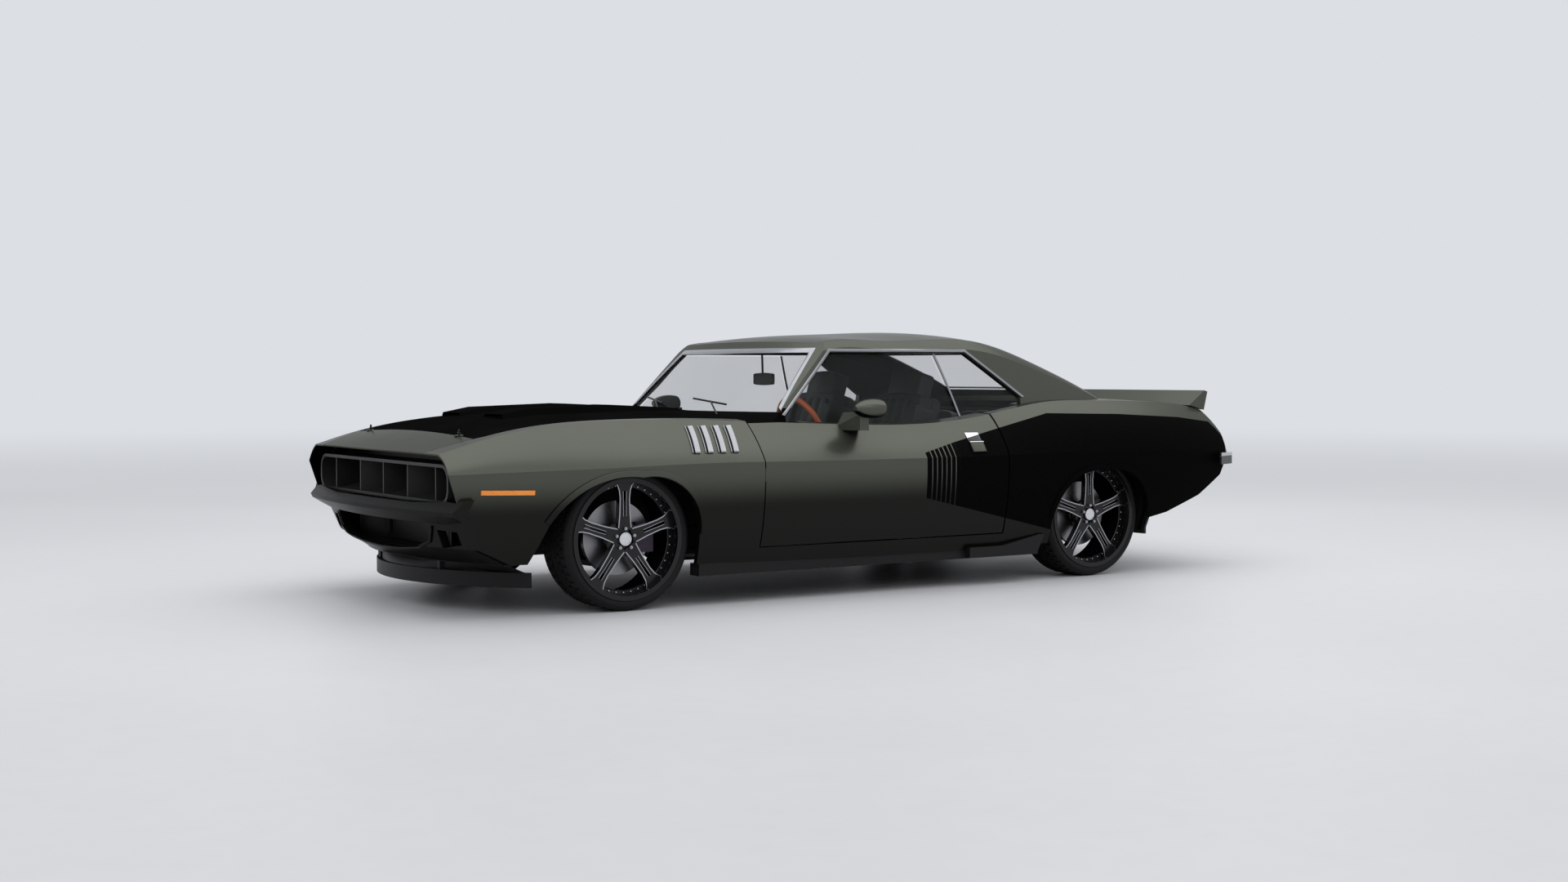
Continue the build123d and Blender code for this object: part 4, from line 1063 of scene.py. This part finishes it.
def cooling_fan():
    """Shroud, hub and six twisted vanes."""
    centre = (FAN_X, 0.0, FAN_Z)
    shroud = turned("fan_shroud", side_on(SHROUD_STEPS, 0), centre, AHEAD, 64)
    hub = turned("hub", side_on(HUB_STEPS, 0), centre, AHEAD, 32)
    vane = box("vane", (FAN_X - 0.002, -0.028, 0.54), (FAN_X + 0.002, 0.028, 0.7))
    shaping(vane)
    bpy.ops.transform.rotate(value=math.radians(28), orient_axis="Z", center_override=(FAN_X, 0, 0.62))
    shaped()
    ring_of(vane, 6, centre, AHEAD)
    return merged("cooling_fan", shroud, hub, softened(vane, 0.001, 1))


def hose(name, path, radius):
    """A rubber hose along a path: straight runs with round joints."""
    runs = [bar("run", a, b, radius, 14) for a, b in zip(path, path[1:])]
    for spot in path[1:-1]:
        none_taken()
        bpy.ops.mesh.primitive_uv_sphere_add(segments=14, ring_count=9, radius=radius * 1.03, location=spot)
        runs.append(softened(begun("joint"), radius * 0.02, 1))
    return merged(name, *runs)


fitted(cooling_fan(), TRIM)
fitted(hose("top_hose", HOSE_PATH, 0.019), TRIM)

# Door linings and gauges

REST_BACK_X, REST_FRONT_X = -0.36, 0.1
CRANK_X, CRANK_Z = 0.2, 0.47
CRANK_STEPS = ((0, 0.003), (0.028, 0.003), (0.026, -0.006), (0.012, -0.01), (0, -0.01))
KNOB_STEPS = ((0, -0.012), (0.012, -0.016), (0.014, -0.036), (0.008, -0.042), (0, -0.043))
GAUGE_Z, GAUGE_RADIUS = 0.69, 0.04
GAUGE_PLACES = (0.258, 0.472)


def arm_rest():
    """A padded rest on the left door's lining, with a dished top."""
    wall = min(touch("door_left", (x, 0.4, 0.55), LEFT).y for x in (REST_BACK_X, -0.13, REST_FRONT_X))
    rest = box("arm_rest", (REST_BACK_X, wall - 0.052, 0.515), (REST_FRONT_X, wall + 0.01, 0.572))
    shaping(rest)
    pick(lambda f: f.normal.x > 0.9)
    bpy.ops.transform.resize(value=(1, 0.7, 0.6))
    pick(lambda f: f.normal.z > 0.9)
    bpy.ops.mesh.inset(thickness=0.009)
    pulled(0, 0, -0.005)
    shaped()
    return softened(rest, 0.006, 3)


def window_crank():
    """A plate with a swung lever and a round knob."""
    wall = touch("door_left", (CRANK_X, 0.4, CRANK_Z), LEFT).y
    knob_x, knob_z = CRANK_X - 0.085, CRANK_Z + 0.032
    plate = spun("plate", (CRANK_X, wall, CRANK_Z), LEFT, AHEAD, CRANK_STEPS, 32)
    lever = bar("lever", (CRANK_X, wall - 0.014, CRANK_Z), (knob_x, wall - 0.02, knob_z), 0.0065, 12)
    knob = spun("knob", (knob_x, wall, knob_z), LEFT, AHEAD, KNOB_STEPS, 24)
    return merged("window_crank", plate, lever, knob)


both_sides(arm_rest(), SEAT_LEATHER, "door_{}")
both_sides(window_crank(), SATIN, "door_{}")


def gauge(y):
    """A rimmed dial on the dashboard's face."""
    x = touch("dashboard", (-0.3, y, GAUGE_Z), AHEAD).x
    rim = GAUGE_RADIUS
    steps = ((0, 0.002), (0, -0.002), (rim - 0.006, -0.003), (rim - 0.004, -0.012), (rim, -0.013),
             (rim + 0.003, -0.008), (rim + 0.003, 0.002))
    return spun("gauge", (x, y, GAUGE_Z), AHEAD, UP, steps, 36)


fitted(merged("dash_gauges", *[gauge(y) for y in GAUGE_PLACES]), SATIN)

# Floor, light and camera

BACKDROP = tone(220, 223, 228)
FADE_FROM, FADE_TO = 7.0, 30.0
DARK_BAND = (0.07, 0.07, 0.072, 1)
CEILING_STOPS = ((0.0, (0.3, 0.305, 0.315, 1)), (0.05, DARK_BAND), (0.17, DARK_BAND), (0.25, (1.5, 1.52, 1.55, 1)),
                 (0.55, (1.8, 1.82, 1.85, 1)), (1.0, (2.3, 2.31, 2.34, 1)))
FAR_SIDE_LIGHT = 0.3

none_taken()
bpy.ops.mesh.primitive_plane_add(size=120.0, location=(0.0, 0.0, 0.0))
floor = bpy.context.object
floor.name = "studio_floor"
concrete = Finish("pale_floor")
worn = concrete.noise(0.35, 6.0)
fine = concrete.noise(9.0, 5.0)
concrete.dress(Base_Color=concrete.blend(worn * 0.7 + fine * 0.3, tone(158, 159, 161), tone(174, 175, 177)),
               Roughness=concrete.spread(worn, 0.38, 0.55))
pale = concrete.node("ShaderNodeEmission", {"Color": BACKDROP, "Strength": 1.0})["Emission"]
floor_x, floor_y = concrete.xyz()[:2]
far = concrete.step((floor_x * floor_x + floor_y * floor_y).root(), FADE_FROM, FADE_TO)
concrete.layered(far, pale.socket)
floor.data.materials.append(concrete.material)

# Camera, glossy and transmission rays see the plain backdrop; the rest is lit by the ceiling, less from the far side.
scene.world = bpy.data.worlds.new("studio")
sky = Finish("studio", scene.world)
for old in list(sky.tree.nodes):
    sky.tree.nodes.remove(old)
sky_y, sky_z = sky.parts(sky.node("ShaderNodeTexCoord")["Generated"])[1:]
ceiling = sky.node("ShaderNodeValToRGB", {0: sky_z}, stops=CEILING_STOPS)["Color"]
ray = sky.node("ShaderNodeLightPath")
seen = ray["Is Camera Ray"].most(ray["Is Glossy Ray"]).most(ray["Is Transmission Ray"])
near_half = sky.step(sky_y, -0.6, 0.0) * (1 - FAR_SIDE_LIGHT) + FAR_SIDE_LIGHT
light = sky.node("ShaderNodeBackground", {"Color": sky.blend(seen, ceiling, BACKDROP),
                                          "Strength": near_half.most(seen)})["Background"]
sky.tree.links.new(light.socket, sky.tree.nodes.new("ShaderNodeOutputWorld").inputs["Surface"])


def softbox(name, place, aim, size, power):
    lamp = bpy.data.lights.new(name, "AREA")
    lamp.shape = "RECTANGLE"
    lamp.size, lamp.size_y = size
    lamp.energy = power
    holder = bpy.data.objects.new(name, lamp)
    scene.collection.objects.link(holder)
    holder.location = place
    holder.rotation_euler = (Vector(aim) - Vector(place)).to_track_quat("-Z", "Y").to_euler()


softbox("overhead", (-1.4, -0.6, 5.4), (-1.4, -0.6, 0.0), (10.5, 7.4), 260.0)
softbox("near_side", (2.0, 7.5, 6.5), (0.2, 0.8, 0.4), (8.0, 2.4), 60.0)
softbox("nose_side", (8.0, 2.0, 5.5), (1.6, 0.0, 0.5), (4.0, 2.0), 30.0)

YAW, PITCH = math.radians(33.52), math.radians(1.977)
eye = bpy.data.cameras.new("view")
eye.sensor_width = 36.0
eye.lens = 44.355
camera = bpy.data.objects.new("view", eye)
scene.collection.objects.link(camera)
gaze = Vector((-math.sin(YAW) * math.cos(PITCH), -math.cos(YAW) * math.cos(PITCH), -math.sin(PITCH)))
camera.location = (5.562, 8.296, 1.044)
camera.rotation_euler = gaze.to_track_quat("-Z", "Y").to_euler()
scene.camera = camera
